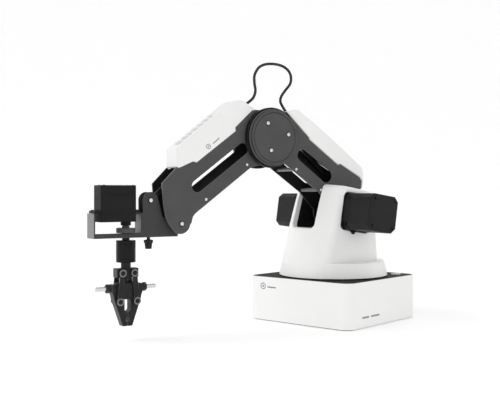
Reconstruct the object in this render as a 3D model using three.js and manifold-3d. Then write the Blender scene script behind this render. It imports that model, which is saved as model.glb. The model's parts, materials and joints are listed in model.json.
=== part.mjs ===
// Desktop robot arm with a servo-turned, air-driven two-jaw gripper.
// Millimetres, +Z up. Origin: centre of the base's foot, on the table. The base faces -Y.
// Inside the turret group, +X is the way the arm reaches, +Y is its own left, and +Z is up.
// "left" and "right" in the names are the robot's own.
import * as THREE from "three";
import { mergeVertices } from "three/addons/utils/BufferGeometryUtils.js";
import { ConvexGeometry } from "three/addons/geometries/ConvexGeometry.js";
import Module from "manifold-3d";

const wasm = await Module();
wasm.setup();

// ---------- Driving dimensions ----------
const BASE_SIDE = 158;
const BASE_CORNER = 15;
const BASE_TOP = 55.8;
const BASE_WALL = 3;
const PAD_THICKNESS = 2;
const TOP_PLATE_THICKNESS = 2.4;

const ARM_HEADING = -105.66; // degrees from +X: the arm is turned 15.66 from straight ahead
const SHOULDER_HEIGHT = 137.56;
const REAR_LENGTH = 142;
const REAR_RISE = 40.2; // degrees above level
const FORE_LENGTH = 158.4;
const FORE_DROP = 40; // degrees below level

const SHEET = 2; // arm plates
const REAR_HALF = 21; // outer faces of the rear arm's plates
const FORE_HALF = 13.2; // outer faces of the forearm's plates
const GAP = 0.3; // between touching pieces
const RUNNING = 0.35; // radial clearance of a turning fit on faceted rounds

const TURRET_BOTTOM = 57.2;
const TURRET_RADIUS = 70;
const TURRET_LEDGE = 76;
const TURRET_SIDE = 48;
const TURRET_WALL = 3;
const SLOT_HALF = 22.5;
const SLOT_FLOOR = 118.5;

const MOTOR_SIDE = 45;
const MOTOR_TILT = 8.4; // degrees, with the sloping tops of the turret's towers
const MOTOR_END = 95.5;
const MOTOR_START = 44;

// The level elbow plate carries both levelling rods, the crank drives the forearm's tail.
const LEVEL_ARM = 28; // elbow axis to the rear rod's pivot
const LEVEL_ANGLE = 137.5;
const WRIST_OFFSET = [35.4, 26.7]; // wrist axis to the forearm rod's pivot
const CRANK_ARM = 18;
const CRANK_ANGLE = REAR_RISE + 90;

// Layers across the arm, measured along the joint axes.
const ROD_LAYER = [2.2, 4.8];
const LEVEL_LAYER = [5.2, 8.8];
const DRIVE_LAYER = [-9.6, 1.6];
const CRANK_LAYER = [-17.4, -13.8];

const TOOL_AXIS = 292.5;
const SHAFT_RADIUS = 5; // elbow shaft
const PIN_RADIUS = 3; // crank pin and its parallel on the forearm
const WRIST_PIN = 2.6;
const ROD_PIN = 2; // pivots of the levelling rods
const SPACER_BOLT = 1.5;
const BOLT_HOLE = 1.9;
const SMALL_HEAD = 2.2;
const PIVOT_HEAD = 3.2;
const HEAD_REACH = 2.6; // outer face of a pivot's head beyond its plate
const CYLINDER_RADIUS = 10.8;
const CYLINDER_SPAN = [86, 110.2];
const PISTON_RADIUS = 5.45;
const POST_RADIUS = 2.4;
const GUIDE_HEIGHT = 57.8;
const GUIDE_RADIUS = 2.6;
const GUIDE_HALF = 35.7;
const JAW_PIVOT = [10, 43.4]; // from the tool axis, and height
const LINK_TOP = [7, 74.5];
const LINK_LAYER = [6.6, 8.4];

const rad = THREE.MathUtils.degToRad;

// ---------- Solids and booleans ----------
function solid(geometry) {
  const bare = geometry.index ? geometry.toNonIndexed() : geometry.clone();
  for (const name of Object.keys(bare.attributes)) {
    if (name !== "position") bare.deleteAttribute(name);
  }
  const merged = mergeVertices(bare, 1e-4);
  return new wasm.Manifold(
    new wasm.Mesh({
      numProp: 3,
      vertProperties: merged.attributes.position.array,
      triVerts: new Uint32Array(merged.index.array),
    }),
  );
}

function geometryOf(manifold) {
  const mesh = manifold.getMesh();
  const geometry = new THREE.BufferGeometry();
  geometry.setAttribute("position", new THREE.BufferAttribute(new Float32Array(mesh.vertProperties), 3));
  geometry.setIndex(new THREE.BufferAttribute(new Uint32Array(mesh.triVerts), 1));
  geometry.computeVertexNormals();
  return geometry;
}

function join(...geometries) {
  return geometryOf(geometries.map(solid).reduce((whole, next) => whole.add(next)));
}

function cut(geometry, ...tools) {
  return geometryOf(tools.map(solid).reduce((left, tool) => left.subtract(tool), solid(geometry)));
}

// ---------- Shapes ----------
// A closed outline from [x, y, radius] corners; the radius is optional.
function outline(corners) {
  const shape = new THREE.Shape();
  const count = corners.length;
  corners.forEach(([x, y, radius = 0], i) => {
    const here = new THREE.Vector2(x, y);
    const toward = (other) => {
      const next = new THREE.Vector2(other[0], other[1]);
      const reach = Math.min(radius, here.distanceTo(next) * 0.49);
      return next.sub(here).setLength(reach).add(here);
    };
    const from = toward(corners[(i + count - 1) % count]);
    const to = toward(corners[(i + 1) % count]);
    if (i === 0) shape.moveTo(from.x, from.y);
    else shape.lineTo(from.x, from.y);
    if (radius > 0) shape.quadraticCurveTo(x, y, to.x, to.y);
  });
  shape.closePath();
  return shape;
}

function square(width, height, radius) {
  const x = width / 2;
  const y = height / 2;
  return outline([
    [-x, -y, radius],
    [x, -y, radius],
    [x, y, radius],
    [-x, y, radius],
  ]);
}

function circle(radius, x = 0, y = 0) {
  const shape = new THREE.Shape();
  shape.absarc(x, y, radius, 0, 2 * Math.PI, false);
  return shape;
}

// Two rounds of different radius joined by straight sides, like a lever seen from the side.
function lever([ax, ay], ra, [bx, by], rb) {
  const line = Math.atan2(by - ay, bx - ax);
  const lean = Math.acos((ra - rb) / Math.hypot(bx - ax, by - ay));
  const shape = new THREE.Shape();
  shape.absarc(ax, ay, ra, line + lean, line - lean + 2 * Math.PI, false);
  shape.absarc(bx, by, rb, line - lean, line + lean, false);
  shape.closePath();
  return shape;
}

// An outline drawn in the side view, extruded across the arm from y0 to y1.
function across(shape, y0, y1, segments = 5) {
  const geometry = new THREE.ExtrudeGeometry(shape, {
    depth: y1 - y0,
    bevelEnabled: false,
    curveSegments: segments,
  });
  return geometry.rotateX(Math.PI / 2).translate(0, y1, 0);
}

// An outline drawn in plan, extruded upwards from z0 to z1.
function upward(shape, z0, z1, segments = 5) {
  const settings = { depth: z1 - z0, bevelEnabled: false, curveSegments: segments };
  return new THREE.ExtrudeGeometry(shape, settings).translate(0, 0, z0);
}

// Round bars along the joint axes, upright, and along the reach.
function pin(radius, y0, y1, x = 0, z = 0, sides = 16) {
  return new THREE.CylinderGeometry(radius, radius, y1 - y0, sides).translate(x, (y0 + y1) / 2, z);
}

function post(radius, z0, z1, x = 0, y = 0, sides = 20) {
  const bar = new THREE.CylinderGeometry(radius, radius, z1 - z0, sides);
  return bar.rotateX(Math.PI / 2).translate(x, y, (z0 + z1) / 2);
}

function bar(radius, x0, x1, y, z, sides = 12) {
  const rod = new THREE.CylinderGeometry(radius, radius, x1 - x0, sides);
  return rod.rotateZ(Math.PI / 2).translate((x0 + x1) / 2, y, z);
}

function block([x0, x1], [y0, y1], [z0, z1]) {
  const box = new THREE.BoxGeometry(x1 - x0, y1 - y0, z1 - z0);
  return box.translate((x0 + x1) / 2, (y0 + y1) / 2, (z0 + z1) / 2);
}

function turned(profile, sides = 28) {
  const points = profile.map(([r, z]) => new THREE.Vector2(r, z));
  return new THREE.LatheGeometry(points, sides).rotateX(Math.PI / 2);
}

// ---------- Materials ----------
function finish(color, roughness, metalness = 0) {
  return new THREE.MeshStandardMaterial({ color, roughness, metalness });
}
const WHITE = finish(0xededeb, 0.42);
const DARK_PLATE = finish(0x34363a, 0.5);
const ARM_METAL = finish(0x4a4d52, 0.42, 0.85);
const BLACK_METAL = finish(0x2a2c30, 0.4, 0.8);
const BLACK_PLASTIC = finish(0x1d1e20, 0.5);
const RUBBER = finish(0x202122, 0.85);
const STEEL = finish(0xc9ccd0, 0.2, 1);
const ALUMINIUM = finish(0xb4b8bd, 0.35, 0.9);
const BOARD = finish(0x1f5a3a, 0.5);
const LAMP = finish(0xdff3ee, 0.3);
const CABLE = finish(0x2b2d30, 0.6);

function piece(group, name, material, geometry) {
  const mesh = new THREE.Mesh(geometry, material);
  mesh.name = name;
  group.add(mesh);
  return mesh;
}

// ---------- Groups: every group is the rest place of one moving body ----------
const robot = new THREE.Group();
const turret = new THREE.Group();
turret.rotation.z = rad(ARM_HEADING);
robot.add(turret);

const rearArm = new THREE.Group();
rearArm.position.z = SHOULDER_HEIGHT;
rearArm.rotation.y = -rad(REAR_RISE);
turret.add(rearArm);

const elbow = {
  x: REAR_LENGTH * Math.cos(rad(REAR_RISE)),
  z: SHOULDER_HEIGHT + REAR_LENGTH * Math.sin(rad(REAR_RISE)),
};
const elbowLevel = new THREE.Group();
elbowLevel.position.set(elbow.x, 0, elbow.z);
turret.add(elbowLevel);

const forearm = new THREE.Group();
forearm.position.copy(elbowLevel.position);
forearm.rotation.y = rad(FORE_DROP);
turret.add(forearm);

const wrist = {
  x: elbow.x + FORE_LENGTH * Math.cos(rad(FORE_DROP)),
  z: elbow.z - FORE_LENGTH * Math.sin(rad(FORE_DROP)),
};
const shoulderLevel = new THREE.Group();
shoulderLevel.position.z = SHOULDER_HEIGHT;
turret.add(shoulderLevel);

// A point of the elbow plate, measured from the elbow axis.
const rearRodPivot = [LEVEL_ARM * Math.cos(rad(LEVEL_ANGLE)), LEVEL_ARM * Math.sin(rad(LEVEL_ANGLE))];
const crankPivot = [CRANK_ARM * Math.cos(rad(CRANK_ANGLE)), CRANK_ARM * Math.sin(rad(CRANK_ANGLE))];

// ---------- Base ----------
const BUTTON = { x: 57, y: 62, radius: 4.6, collar: 6.4 };
const PANEL = { half: 55, bottom: 12, top: 38, thickness: 3 };

function baseShape(inset) {
  const side = BASE_SIDE - 2 * inset;
  const radius = (BASE_CORNER - inset) * 1.4; // the quadratic corner is a little tighter than an arc
  return square(side, side, radius);
}

function makeBase() {
  piece(robot, "base_foot_pad", RUBBER, upward(baseShape(1.5), 0, PAD_THICKNESS, 6));

  const lip = BASE_TOP - TOP_PLATE_THICKNESS - GAP;
  const housing = cut(
    upward(baseShape(0), PAD_THICKNESS + GAP, BASE_TOP, 6),
    upward(baseShape(BASE_WALL), 0, lip - BASE_WALL, 6),
    upward(baseShape(2 * BASE_WALL), 0, BASE_TOP, 6),
    upward(baseShape(1), lip, BASE_TOP + 1, 6),
    block([-PANEL.half, PANEL.half], [70, 90], [PANEL.bottom, PANEL.top]),
  );
  piece(robot, "base_housing", WHITE, housing);

  const plate = cut(
    upward(baseShape(1 + GAP), lip + GAP, BASE_TOP, 6),
    post(25, 40, 70),
    post(BUTTON.collar + GAP, 40, 70, BUTTON.x, BUTTON.y),
  );
  piece(robot, "base_top_plate", DARK_PLATE, plate);

  const collar = cut(
    join(
      post(BUTTON.collar, lip - 3, BASE_TOP + 0.4, BUTTON.x, BUTTON.y),
      post(BUTTON.collar + 2, lip - 5, lip - GAP, BUTTON.x, BUTTON.y),
    ),
    post(BUTTON.radius + RUNNING, 30, 70, BUTTON.x, BUTTON.y),
  );
  piece(robot, "power_light_ring", LAMP, collar);
  const cap = join(
    post(BUTTON.radius, lip - 4, BASE_TOP + 1, BUTTON.x, BUTTON.y),
    post(BUTTON.radius + 1.6, lip - 8, lip - 5.4, BUTTON.x, BUTTON.y),
    post(BUTTON.radius, lip - 6, lip - 3, BUTTON.x, BUTTON.y),
  );
  piece(robot, "power_button", BLACK_PLASTIC, cap);
  const inner = BASE_SIDE / 2;
  const well = [inner - 9, inner + 1];
  const port = (width, height, x) => across(square(width, height, 1.5), ...well, 2).translate(x, 0, 25);
  const sockets = [
    pin(4, ...well, -46, 25),
    port(12, 11, -28),
    ...[-8, 10, 28, 45].map((x) => port(13, 6, x)),
  ];
  const panelBody = join(
    block(
      [-PANEL.half + GAP, PANEL.half - GAP],
      [inner - PANEL.thickness, inner - 0.6],
      [PANEL.bottom + GAP, PANEL.top - GAP],
    ),
    block([-52, 52], [inner - 14, inner - PANEL.thickness + 0.5], [14, 36]),
  );
  piece(robot, "rear_socket_panel", BLACK_PLASTIC, cut(panelBody, ...sockets));

  const board = join(
    block([-62, 62], [-66, -26], [8, 9.6]),
    block([-40, -10], [-60, -36], [9.4, 24]),
    ...[-56, 56].map((x) => post(3, PAD_THICKNESS + GAP, 8.2, x, -46, 8)),
  );
  piece(robot, "controller_board", BOARD, board);

  piece(robot, "yaw_motor", BLACK_METAL, upward(square(42.3, 42.3, 5), PAD_THICKNESS + GAP, 38, 2));
  const gearbox = join(post(18, 38.3, 46), post(6, 45, 51.6, 0, 0, 16));
  piece(robot, "yaw_gearbox", ALUMINIUM, gearbox);
  const race = turned([
    [26, 46.3],
    [40, 46.3],
    [40, 52.6],
    [26, 52.6],
    [26, 46.3],
  ]);
  piece(robot, "slew_bearing", STEEL, race);
}
makeBase();

// ---------- Turret ----------
// Plan section: a round front, flat sides and a flat back, as points round the loop.
function turretRing(inset, front, rear, heightAt) {
  const radius = TURRET_RADIUS - inset;
  const side = TURRET_SIDE - inset;
  const corner = 12 - inset;
  const shift = front - inset - radius;
  const cornerX = Math.sqrt((radius - corner) ** 2 - (side - corner) ** 2);
  const meet = Math.atan2(side - corner, cornerX);
  const half = [];
  for (let i = 0; i <= 3; i += 1) {
    const angle = (meet * i) / 3;
    half.push([shift + radius * Math.cos(angle), radius * Math.sin(angle)]);
  }
  for (let i = 1; i <= 3; i += 1) {
    const angle = meet + ((Math.PI / 2 - meet) * i) / 3;
    half.push([shift + cornerX + corner * Math.cos(angle), side - corner + corner * Math.sin(angle)]);
  }
  const back = 6;
  for (let i = 0; i <= 2; i += 1) {
    const angle = Math.PI / 2 + (Math.PI / 2) * (i / 2);
    half.push([
      rear + inset + back + back * Math.cos(angle),
      side - back + back * Math.sin(angle),
    ]);
  }
  const whole = [...half, ...half.map(([x, y]) => [x, -y])];
  return whole.map(([x, y]) => new THREE.Vector3(x, y, heightAt(x)));
}

const slopeTop = (x) => 168.7 + Math.tan(rad(9.2)) * x;
function turretBody(inset, bottom) {
  const top = (drop) => (x) => slopeTop(x) - drop - inset;
  return new ConvexGeometry([
    ...turretRing(inset, 70, -38.5, () => bottom),
    ...turretRing(inset, 54, -33, () => 119),
    ...turretRing(inset, 39, -28, top(4)),
    ...turretRing(inset + 1.2, 38.4, -27, top(1.2)),
    ...turretRing(inset + 4, 37.6, -26, top(0)),
  ]);
}

function sideSquare(side, corner, y0, y1) {
  const solidBar = across(square(side, side, corner), y0, y1, 3);
  return solidBar.rotateY(rad(-MOTOR_TILT)).translate(0, 0, SHOULDER_HEIGHT);
}

function makeTurret() {
  const skirt = turned([
    [0, TURRET_BOTTOM],
    [TURRET_RADIUS, TURRET_BOTTOM],
    [66, TURRET_LEDGE - 1.5],
    [64.8, TURRET_LEDGE],
    [0, TURRET_LEDGE],
  ], 48);
  const slot = outline([
    [-SLOT_HALF, SLOT_FLOOR, 6],
    [SLOT_HALF, SLOT_FLOOR, 6],
    [SLOT_HALF, 220],
    [-SLOT_HALF, 220],
  ]);
  const slotTool = across(slot, -90, 90).rotateZ(Math.PI / 2);
  const cavity = solid(turretBody(TURRET_WALL, TURRET_BOTTOM - 1)).subtract(
    solid(block([-90, 90], [-SLOT_HALF - TURRET_WALL, SLOT_HALF + TURRET_WALL], [SLOT_FLOOR - 4, 200])),
  );
  const openings = [
    slotTool,
    post(57.5, 40, 62.2, 0, 0, 40),
    block([-30, -10], [3.4, 10.6], [SLOT_FLOOR - 6, SLOT_FLOOR + 1]),
    sideSquare(MOTOR_SIDE + 2, 8, -60, -30),
    sideSquare(MOTOR_SIDE + 2, 8, 30, 60),
    pin(16, -40, 40, 0, SHOULDER_HEIGHT, 24),
  ];
  const shell = openings.reduce(
    (left, opening) => left.subtract(solid(opening)),
    solid(join(turretBody(0, TURRET_BOTTOM), skirt)).subtract(cavity),
  );
  piece(turret, "turret_shell", WHITE, geometryOf(shell));

  const table = join(post(56, 57.6, 61.5), post(23.5, 52, 58), post(8, 50, 53));
  const hub = post(6 + RUNNING, 40, 60, 0, 0, 16);
  piece(turret, "turntable", ALUMINIUM, cut(table, hub));

  const anchorTop = [rearRodPivot[0], SHOULDER_HEIGHT + rearRodPivot[1]];
  const brace = join(
    block([-28, -12], [-9, 9], [61.9, 66]),
    across(lever([-20, 68.5], 6, anchorTop, 6), ...LEVEL_LAYER),
    pin(ROD_PIN, ROD_LAYER[0] - 0.2, LEVEL_LAYER[1], ...anchorTop, 12),
  );
  piece(turret, "levelling_anchor", BLACK_METAL, brace);

  for (const [side, sign] of [["left", 1], ["right", -1]]) {
    const span = (from, to) => (sign > 0 ? [from, to] : [-to, -from]);
    const motorJob = side === "left" ? "shoulder" : "elbow";
    const cover = cut(
      sideSquareChamfered(MOTOR_SIDE, 6, ...span(MOTOR_START, MOTOR_END)),
      sideSquareChamfered(MOTOR_SIDE - 3, 5, ...span(MOTOR_START - 1, MOTOR_END - 2)),
    );
    piece(turret, motorJob + "_motor_cover", BLACK_PLASTIC, cover);
    const motor = sideSquareChamfered(MOTOR_SIDE - 3.8, 5, ...span(46.5, 92));
    piece(turret, motorJob + "_motor", BLACK_METAL, motor);
    const reducer = join(
      pin(15.4, ...span(26.5, 46.2), 0, SHOULDER_HEIGHT, 24),
      pin(11, ...span(22, 27), 0, SHOULDER_HEIGHT, 24),
    );
    piece(turret, motorJob + "_gearbox", ALUMINIUM, reducer);
  }
}

function sideSquareChamfered(side, chamfer, y0, y1) {
  const half = side / 2;
  const inner = half - chamfer;
  const corners = [
    [inner, -half],
    [half, -inner],
    [half, inner],
    [inner, half],
    [-inner, half],
    [-half, inner],
    [-half, -inner],
    [-inner, -half],
  ];
  const solidBar = across(outline(corners), y0, y1);
  return solidBar.rotateY(rad(-MOTOR_TILT)).translate(0, 0, SHOULDER_HEIGHT);
}
makeTurret();

// ---------- Rear arm: x along the arm from the shoulder axis, z square to it ----------
const REAR_SPACERS = [
  [46.5, -1.8],
  [92.2, -7.2],
];
const ELBOW_RADIUS = 34.5;
const DISC_RADIUS = 31;
const DISC_THICKNESS = 3;

function rearPlate(y0, y1, shoulderHole) {
  const shape = new THREE.Shape();
  shape.moveTo(-2.4, 42.9);
  shape.lineTo(-9, 12);
  shape.absarc(0, 0, 17, rad(122), rad(330), false);
  shape.lineTo(46.8, -8.5);
  shape.lineTo(111.1, -15.8);
  shape.absarc(REAR_LENGTH, 0, ELBOW_RADIUS, rad(-150), rad(96), false);
  shape.lineTo(102.8, 35.7);
  shape.lineTo(100.6, 34.3);
  shape.lineTo(45.8, 40.2);
  shape.lineTo(43.3, 43.7);
  shape.lineTo(8.6, 51.9);
  shape.lineTo(2.7, 50.8);
  shape.closePath();
  const tools = [
    across(lever([49.5, 18], 7.2, [97.5, 12.8], 6.4), y0 - 1, y1 + 1, 4),
    pin(shoulderHole, y0 - 1, y1 + 1),
    pin(SHAFT_RADIUS + 1 + RUNNING, y0 - 1, y1 + 1, REAR_LENGTH),
    ...REAR_SPACERS.map(([x, z]) => pin(BOLT_HOLE, y0 - 1, y1 + 1, x, z, 12)),
  ];
  return cut(across(shape, y0, y1, 7), ...tools);
}

// A cover: one outer profile across the whole width, hollowed between its two cheeks.
function troughCover(profile, hollow, halfWidth, wall) {
  const outer = across(outline(profile), -halfWidth, halfWidth, 4);
  return cut(outer, across(outline(hollow), -halfWidth + wall, halfWidth - wall, 4));
}

function makeRearArm() {
  const inner = REAR_HALF - SHEET;
  piece(rearArm, "rear_plate_left", ARM_METAL, rearPlate(inner, REAR_HALF, 5.35));
  piece(rearArm, "rear_plate_right", ARM_METAL, rearPlate(-REAR_HALF, -inner, 8.5));

  const profile = [
    [-3.3, 43.1],
    [2.3, 51.4],
    [8.6, 52.5],
    [43.6, 44.2],
    [46.2, 40.7],
    [100.4, 34.8],
    [102.8, 36.2],
    [116.5, 36.6],
    [147.6, 37.2, 2],
    [138.5, 50.8, 6],
    [93.2, 57.8, 30],
    [12.9, 64.9, 8],
    [2.2, 56.4, 5],
    [-4.6, 44],
  ];
  const hollow = [
    [-8, 36],
    [160, 30],
    [150, 36],
    [137.2, 49, 5],
    [93, 56, 30],
    [13.6, 63, 7],
    [4.8, 55, 4],
    [-4, 40],
  ];
  const cableMouth = block([130, 152], [-2.3, 2.3], [43, 51.5]);
  const cover = cut(troughCover(profile, hollow, REAR_HALF, 1.8), cableMouth);
  piece(rearArm, "rear_arm_cover", WHITE, cover);

  REAR_SPACERS.forEach(([x, z], i) => {
    const spacer = join(
      pin(3.4, -inner + GAP, inner - GAP, x, z, 12),
      pin(SPACER_BOLT, -REAR_HALF - 1, REAR_HALF + 1, x, z, 12),
      pin(SMALL_HEAD, REAR_HALF + GAP, SLOT_HALF - GAP, x, z, 12),
      pin(SMALL_HEAD, -SLOT_HALF + GAP, -REAR_HALF - GAP, x, z, 12),
    );
    piece(rearArm, "rear_spacer_" + (i + 1), STEEL, spacer);
  });

  for (const [side, sign] of [["left", 1], ["right", -1]]) {
    const face = sign * (REAR_HALF + GAP);
    const span = [face, face + sign * DISC_THICKNESS].sort((a, b) => a - b);
    piece(rearArm, "elbow_cap_" + side, ARM_METAL, pin(DISC_RADIUS, ...span, REAR_LENGTH, 0, 36));
  }
  piece(rearArm, "elbow_shaft", STEEL, pin(SHAFT_RADIUS, -REAR_HALF, REAR_HALF, REAR_LENGTH, 0, 14));
}
makeRearArm();

// ---------- Levelling linkage and forearm drive ----------
const ROD_WIDTH = 5;

function rodBetween(group, name, [x, z], length, angle) {
  const eye = ROD_WIDTH / 2 + 2;
  const holder = new THREE.Group();
  holder.position.set(x, 0, z);
  holder.rotation.y = -rad(angle);
  group.add(holder);
  const shape = join(
    across(square(length, ROD_WIDTH, 0), ...ROD_LAYER).translate(length / 2, 0, 0),
    pin(eye, ...ROD_LAYER, 0, 0, 14),
    pin(eye, ...ROD_LAYER, length, 0, 14),
  );
  const bores = [0, length].map((along) => pin(ROD_PIN + RUNNING, 0, 8, along, 0, 12));
  piece(holder, name, BLACK_METAL, cut(shape, ...bores));
}

function makeLinkage() {
  const middle = (LEVEL_LAYER[0] + LEVEL_LAYER[1]) / 2;
  const pivots = [rearRodPivot, WRIST_OFFSET];
  const web = join(
    across(lever([0, 0], 9.5, rearRodPivot, 5.5), ...LEVEL_LAYER),
    across(lever([0, 0], 9.5, WRIST_OFFSET, 5.5), ...LEVEL_LAYER),
    across(lever(rearRodPivot, 4, WRIST_OFFSET, 4), middle - 1, middle + 1),
    ...pivots.map(([x, z]) => pin(ROD_PIN, ROD_LAYER[0] - 0.2, LEVEL_LAYER[1], x, z, 12)),
  );
  piece(elbowLevel, "elbow_level_plate", BLACK_METAL, cut(web, pin(SHAFT_RADIUS + RUNNING, -20, 20)));

  rodBetween(shoulderLevel, "rear_levelling_rod", rearRodPivot, REAR_LENGTH, REAR_RISE);
  rodBetween(elbowLevel, "forearm_levelling_rod", WRIST_OFFSET, FORE_LENGTH, -FORE_DROP);

  const crank = join(
    across(lever([0, 0], 10, crankPivot, 6), ...CRANK_LAYER),
    pin(8, -21.7, CRANK_LAYER[0] + 1, 0, 0, 14),
  );
  const crankBore = pin(PIN_RADIUS + RUNNING, -30, 0, ...crankPivot, 12);
  piece(shoulderLevel, "forearm_crank", BLACK_METAL, cut(crank, crankBore));
  const crankPin = join(
    pin(PIN_RADIUS, CRANK_LAYER[0], DRIVE_LAYER[1] + GAP, ...crankPivot, 12),
    pin(PIN_RADIUS + 1.4, CRANK_LAYER[1] + 0.4, DRIVE_LAYER[0] - 0.6, ...crankPivot, 12),
  );
  piece(shoulderLevel, "crank_pin", STEEL, crankPin);

  const drive = new THREE.Group();
  drive.position.set(crankPivot[0], 0, SHOULDER_HEIGHT + crankPivot[1]);
  drive.rotation.y = -rad(REAR_RISE);
  turret.add(drive);
  const shape = join(
    across(square(REAR_LENGTH, 8, 0), ...DRIVE_LAYER).translate(REAR_LENGTH / 2, 0, 0),
    pin(5.8, ...DRIVE_LAYER, 0, 0, 14),
    pin(5.8, ...DRIVE_LAYER, REAR_LENGTH, 0, 14),
  );
  const bores = [0, REAR_LENGTH].map((x) => pin(PIN_RADIUS + RUNNING, -20, 20, x, 0, 12));
  piece(drive, "forearm_drive_rod", BLACK_METAL, cut(shape, ...bores));
}
makeLinkage();

// ---------- Forearm: x along the arm from the elbow axis, z square to it ----------
const FORE_SPACERS = [
  [46.8, -3.8],
  [116.5, 0.8],
];
const HUB_RADIUS = 27;
// The crank's parallel on the forearm, in the forearm's own directions.
const tailAngle = rad(CRANK_ANGLE + FORE_DROP);
const TAIL = [CRANK_ARM * Math.cos(tailAngle), CRANK_ARM * Math.sin(tailAngle)];

function forePlate(y0, y1) {
  const shape = new THREE.Shape();
  shape.moveTo(31.2, 39.4);
  shape.lineTo(-4.7, 39.7);
  shape.absarc(0, 0, 31, rad(100), rad(318), false);
  shape.lineTo(44.4, -10);
  shape.lineTo(138.2, -2.6);
  shape.lineTo(142.5, -3.5);
  shape.lineTo(148, -7.5);
  shape.absarc(FORE_LENGTH, 1, 11.5, rad(230), rad(345), false);
  shape.lineTo(170.8, 15.4);
  shape.lineTo(163.7, 28.8);
  shape.lineTo(148.4, 50.9);
  shape.lineTo(122.2, 53.2);
  shape.lineTo(120.8, 49.8);
  shape.lineTo(101.7, 44.1);
  shape.lineTo(98.8, 40.3);
  shape.lineTo(33.4, 35.7);
  shape.closePath();
  const tools = [
    across(lever([39.5, 14.3], 7, [115.5, 20.4], 7), y0 - 1, y1 + 1, 4),
    pin(SHAFT_RADIUS + RUNNING, y0 - 1, y1 + 1),
    pin(WRIST_PIN + RUNNING, y0 - 1, y1 + 1, FORE_LENGTH, 0, 12),
    ...FORE_SPACERS.map(([x, z]) => pin(BOLT_HOLE, y0 - 1, y1 + 1, x, z, 12)),
    ...(y0 < 0 ? [pin(PIN_RADIUS + RUNNING, y0 - 1, y1 + 1, ...TAIL, 12)] : []),
  ];
  return cut(across(shape, y0, y1, 7), ...tools);
}

function makeForearm() {
  const inner = FORE_HALF - SHEET;
  piece(forearm, "forearm_plate_left", ARM_METAL, forePlate(inner, FORE_HALF));
  piece(forearm, "forearm_plate_right", ARM_METAL, forePlate(-FORE_HALF, -inner));

  const profile = [
    [-4.6, 41.2, 1],
    [31.4, 40],
    [33.6, 36.3],
    [98.6, 40.9],
    [101.4, 44.7],
    [120.4, 50.4],
    [121.8, 53.8, 1],
    [120.5, 60, 2],
    [112, 69.6, 4],
    [13.3, 65.8, 5],
    [3, 59.6, 3],
  ];
  const hollow = [
    [-12, 30],
    [140, 30],
    [118.8, 52],
    [118.3, 59, 2],
    [110.6, 67.8, 3],
    [13.8, 64.1, 4],
    [6, 59.4, 3],
    [-8, 46],
  ];
  const cover = troughCover(profile, hollow, FORE_HALF, 1.6);
  piece(forearm, "forearm_cover", WHITE, cover);

  FORE_SPACERS.forEach(([x, z], i) => {
    const spacer = join(
      pin(3.2, -inner + GAP, inner - GAP, x, z, 12),
      pin(SPACER_BOLT, -FORE_HALF - 1, FORE_HALF + 1, x, z, 12),
      pin(SMALL_HEAD, FORE_HALF + GAP, FORE_HALF + 2, x, z, 12),
      pin(SMALL_HEAD, -FORE_HALF - 2, -FORE_HALF - GAP, x, z, 12),
    );
    piece(forearm, "forearm_spacer_" + (i + 1), STEEL, spacer);
  });
  const hubTop = REAR_HALF - SHEET - GAP;
  for (const [side, y0, y1] of [["left", FORE_HALF + GAP, hubTop], ["right", -hubTop, -FORE_HALF - GAP]]) {
    const hub = cut(pin(HUB_RADIUS, y0, y1, 0, 0, 28), pin(SHAFT_RADIUS + RUNNING, -30, 30));
    piece(forearm, "elbow_hub_" + side, BLACK_PLASTIC, hub);
  }
  const tailPin = pin(PIN_RADIUS, -FORE_HALF, DRIVE_LAYER[1] + GAP, ...TAIL, 12);
  piece(forearm, "drive_tail_pin", STEEL, tailPin);
  const wristShaft = join(
    pin(WRIST_PIN, -FORE_HALF - 1, FORE_HALF + 1, FORE_LENGTH, 0, 12),
    pin(PIVOT_HEAD, FORE_HALF + GAP, FORE_HALF + HEAD_REACH, FORE_LENGTH, 0, 14),
    pin(PIVOT_HEAD, -FORE_HALF - HEAD_REACH, -FORE_HALF - GAP, FORE_LENGTH, 0, 14),
  );
  piece(forearm, "wrist_shaft", STEEL, wristShaft);
}
makeForearm();

// ---------- Wrist bracket and servo, in the turret's directions ----------
const EAR = [wrist.x + WRIST_OFFSET[0], wrist.z + WRIST_OFFSET[1]];
const BRACKET = {
  half: 6.5,
  sheet: 1.5,
  bottom: 112.9,
  rail: 4.6,
  front: 332.2,
  post: 277.3,
  postFoot: 130.4,
  shelf: 140,
};
const THUMB_X = 265.1;

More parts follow.
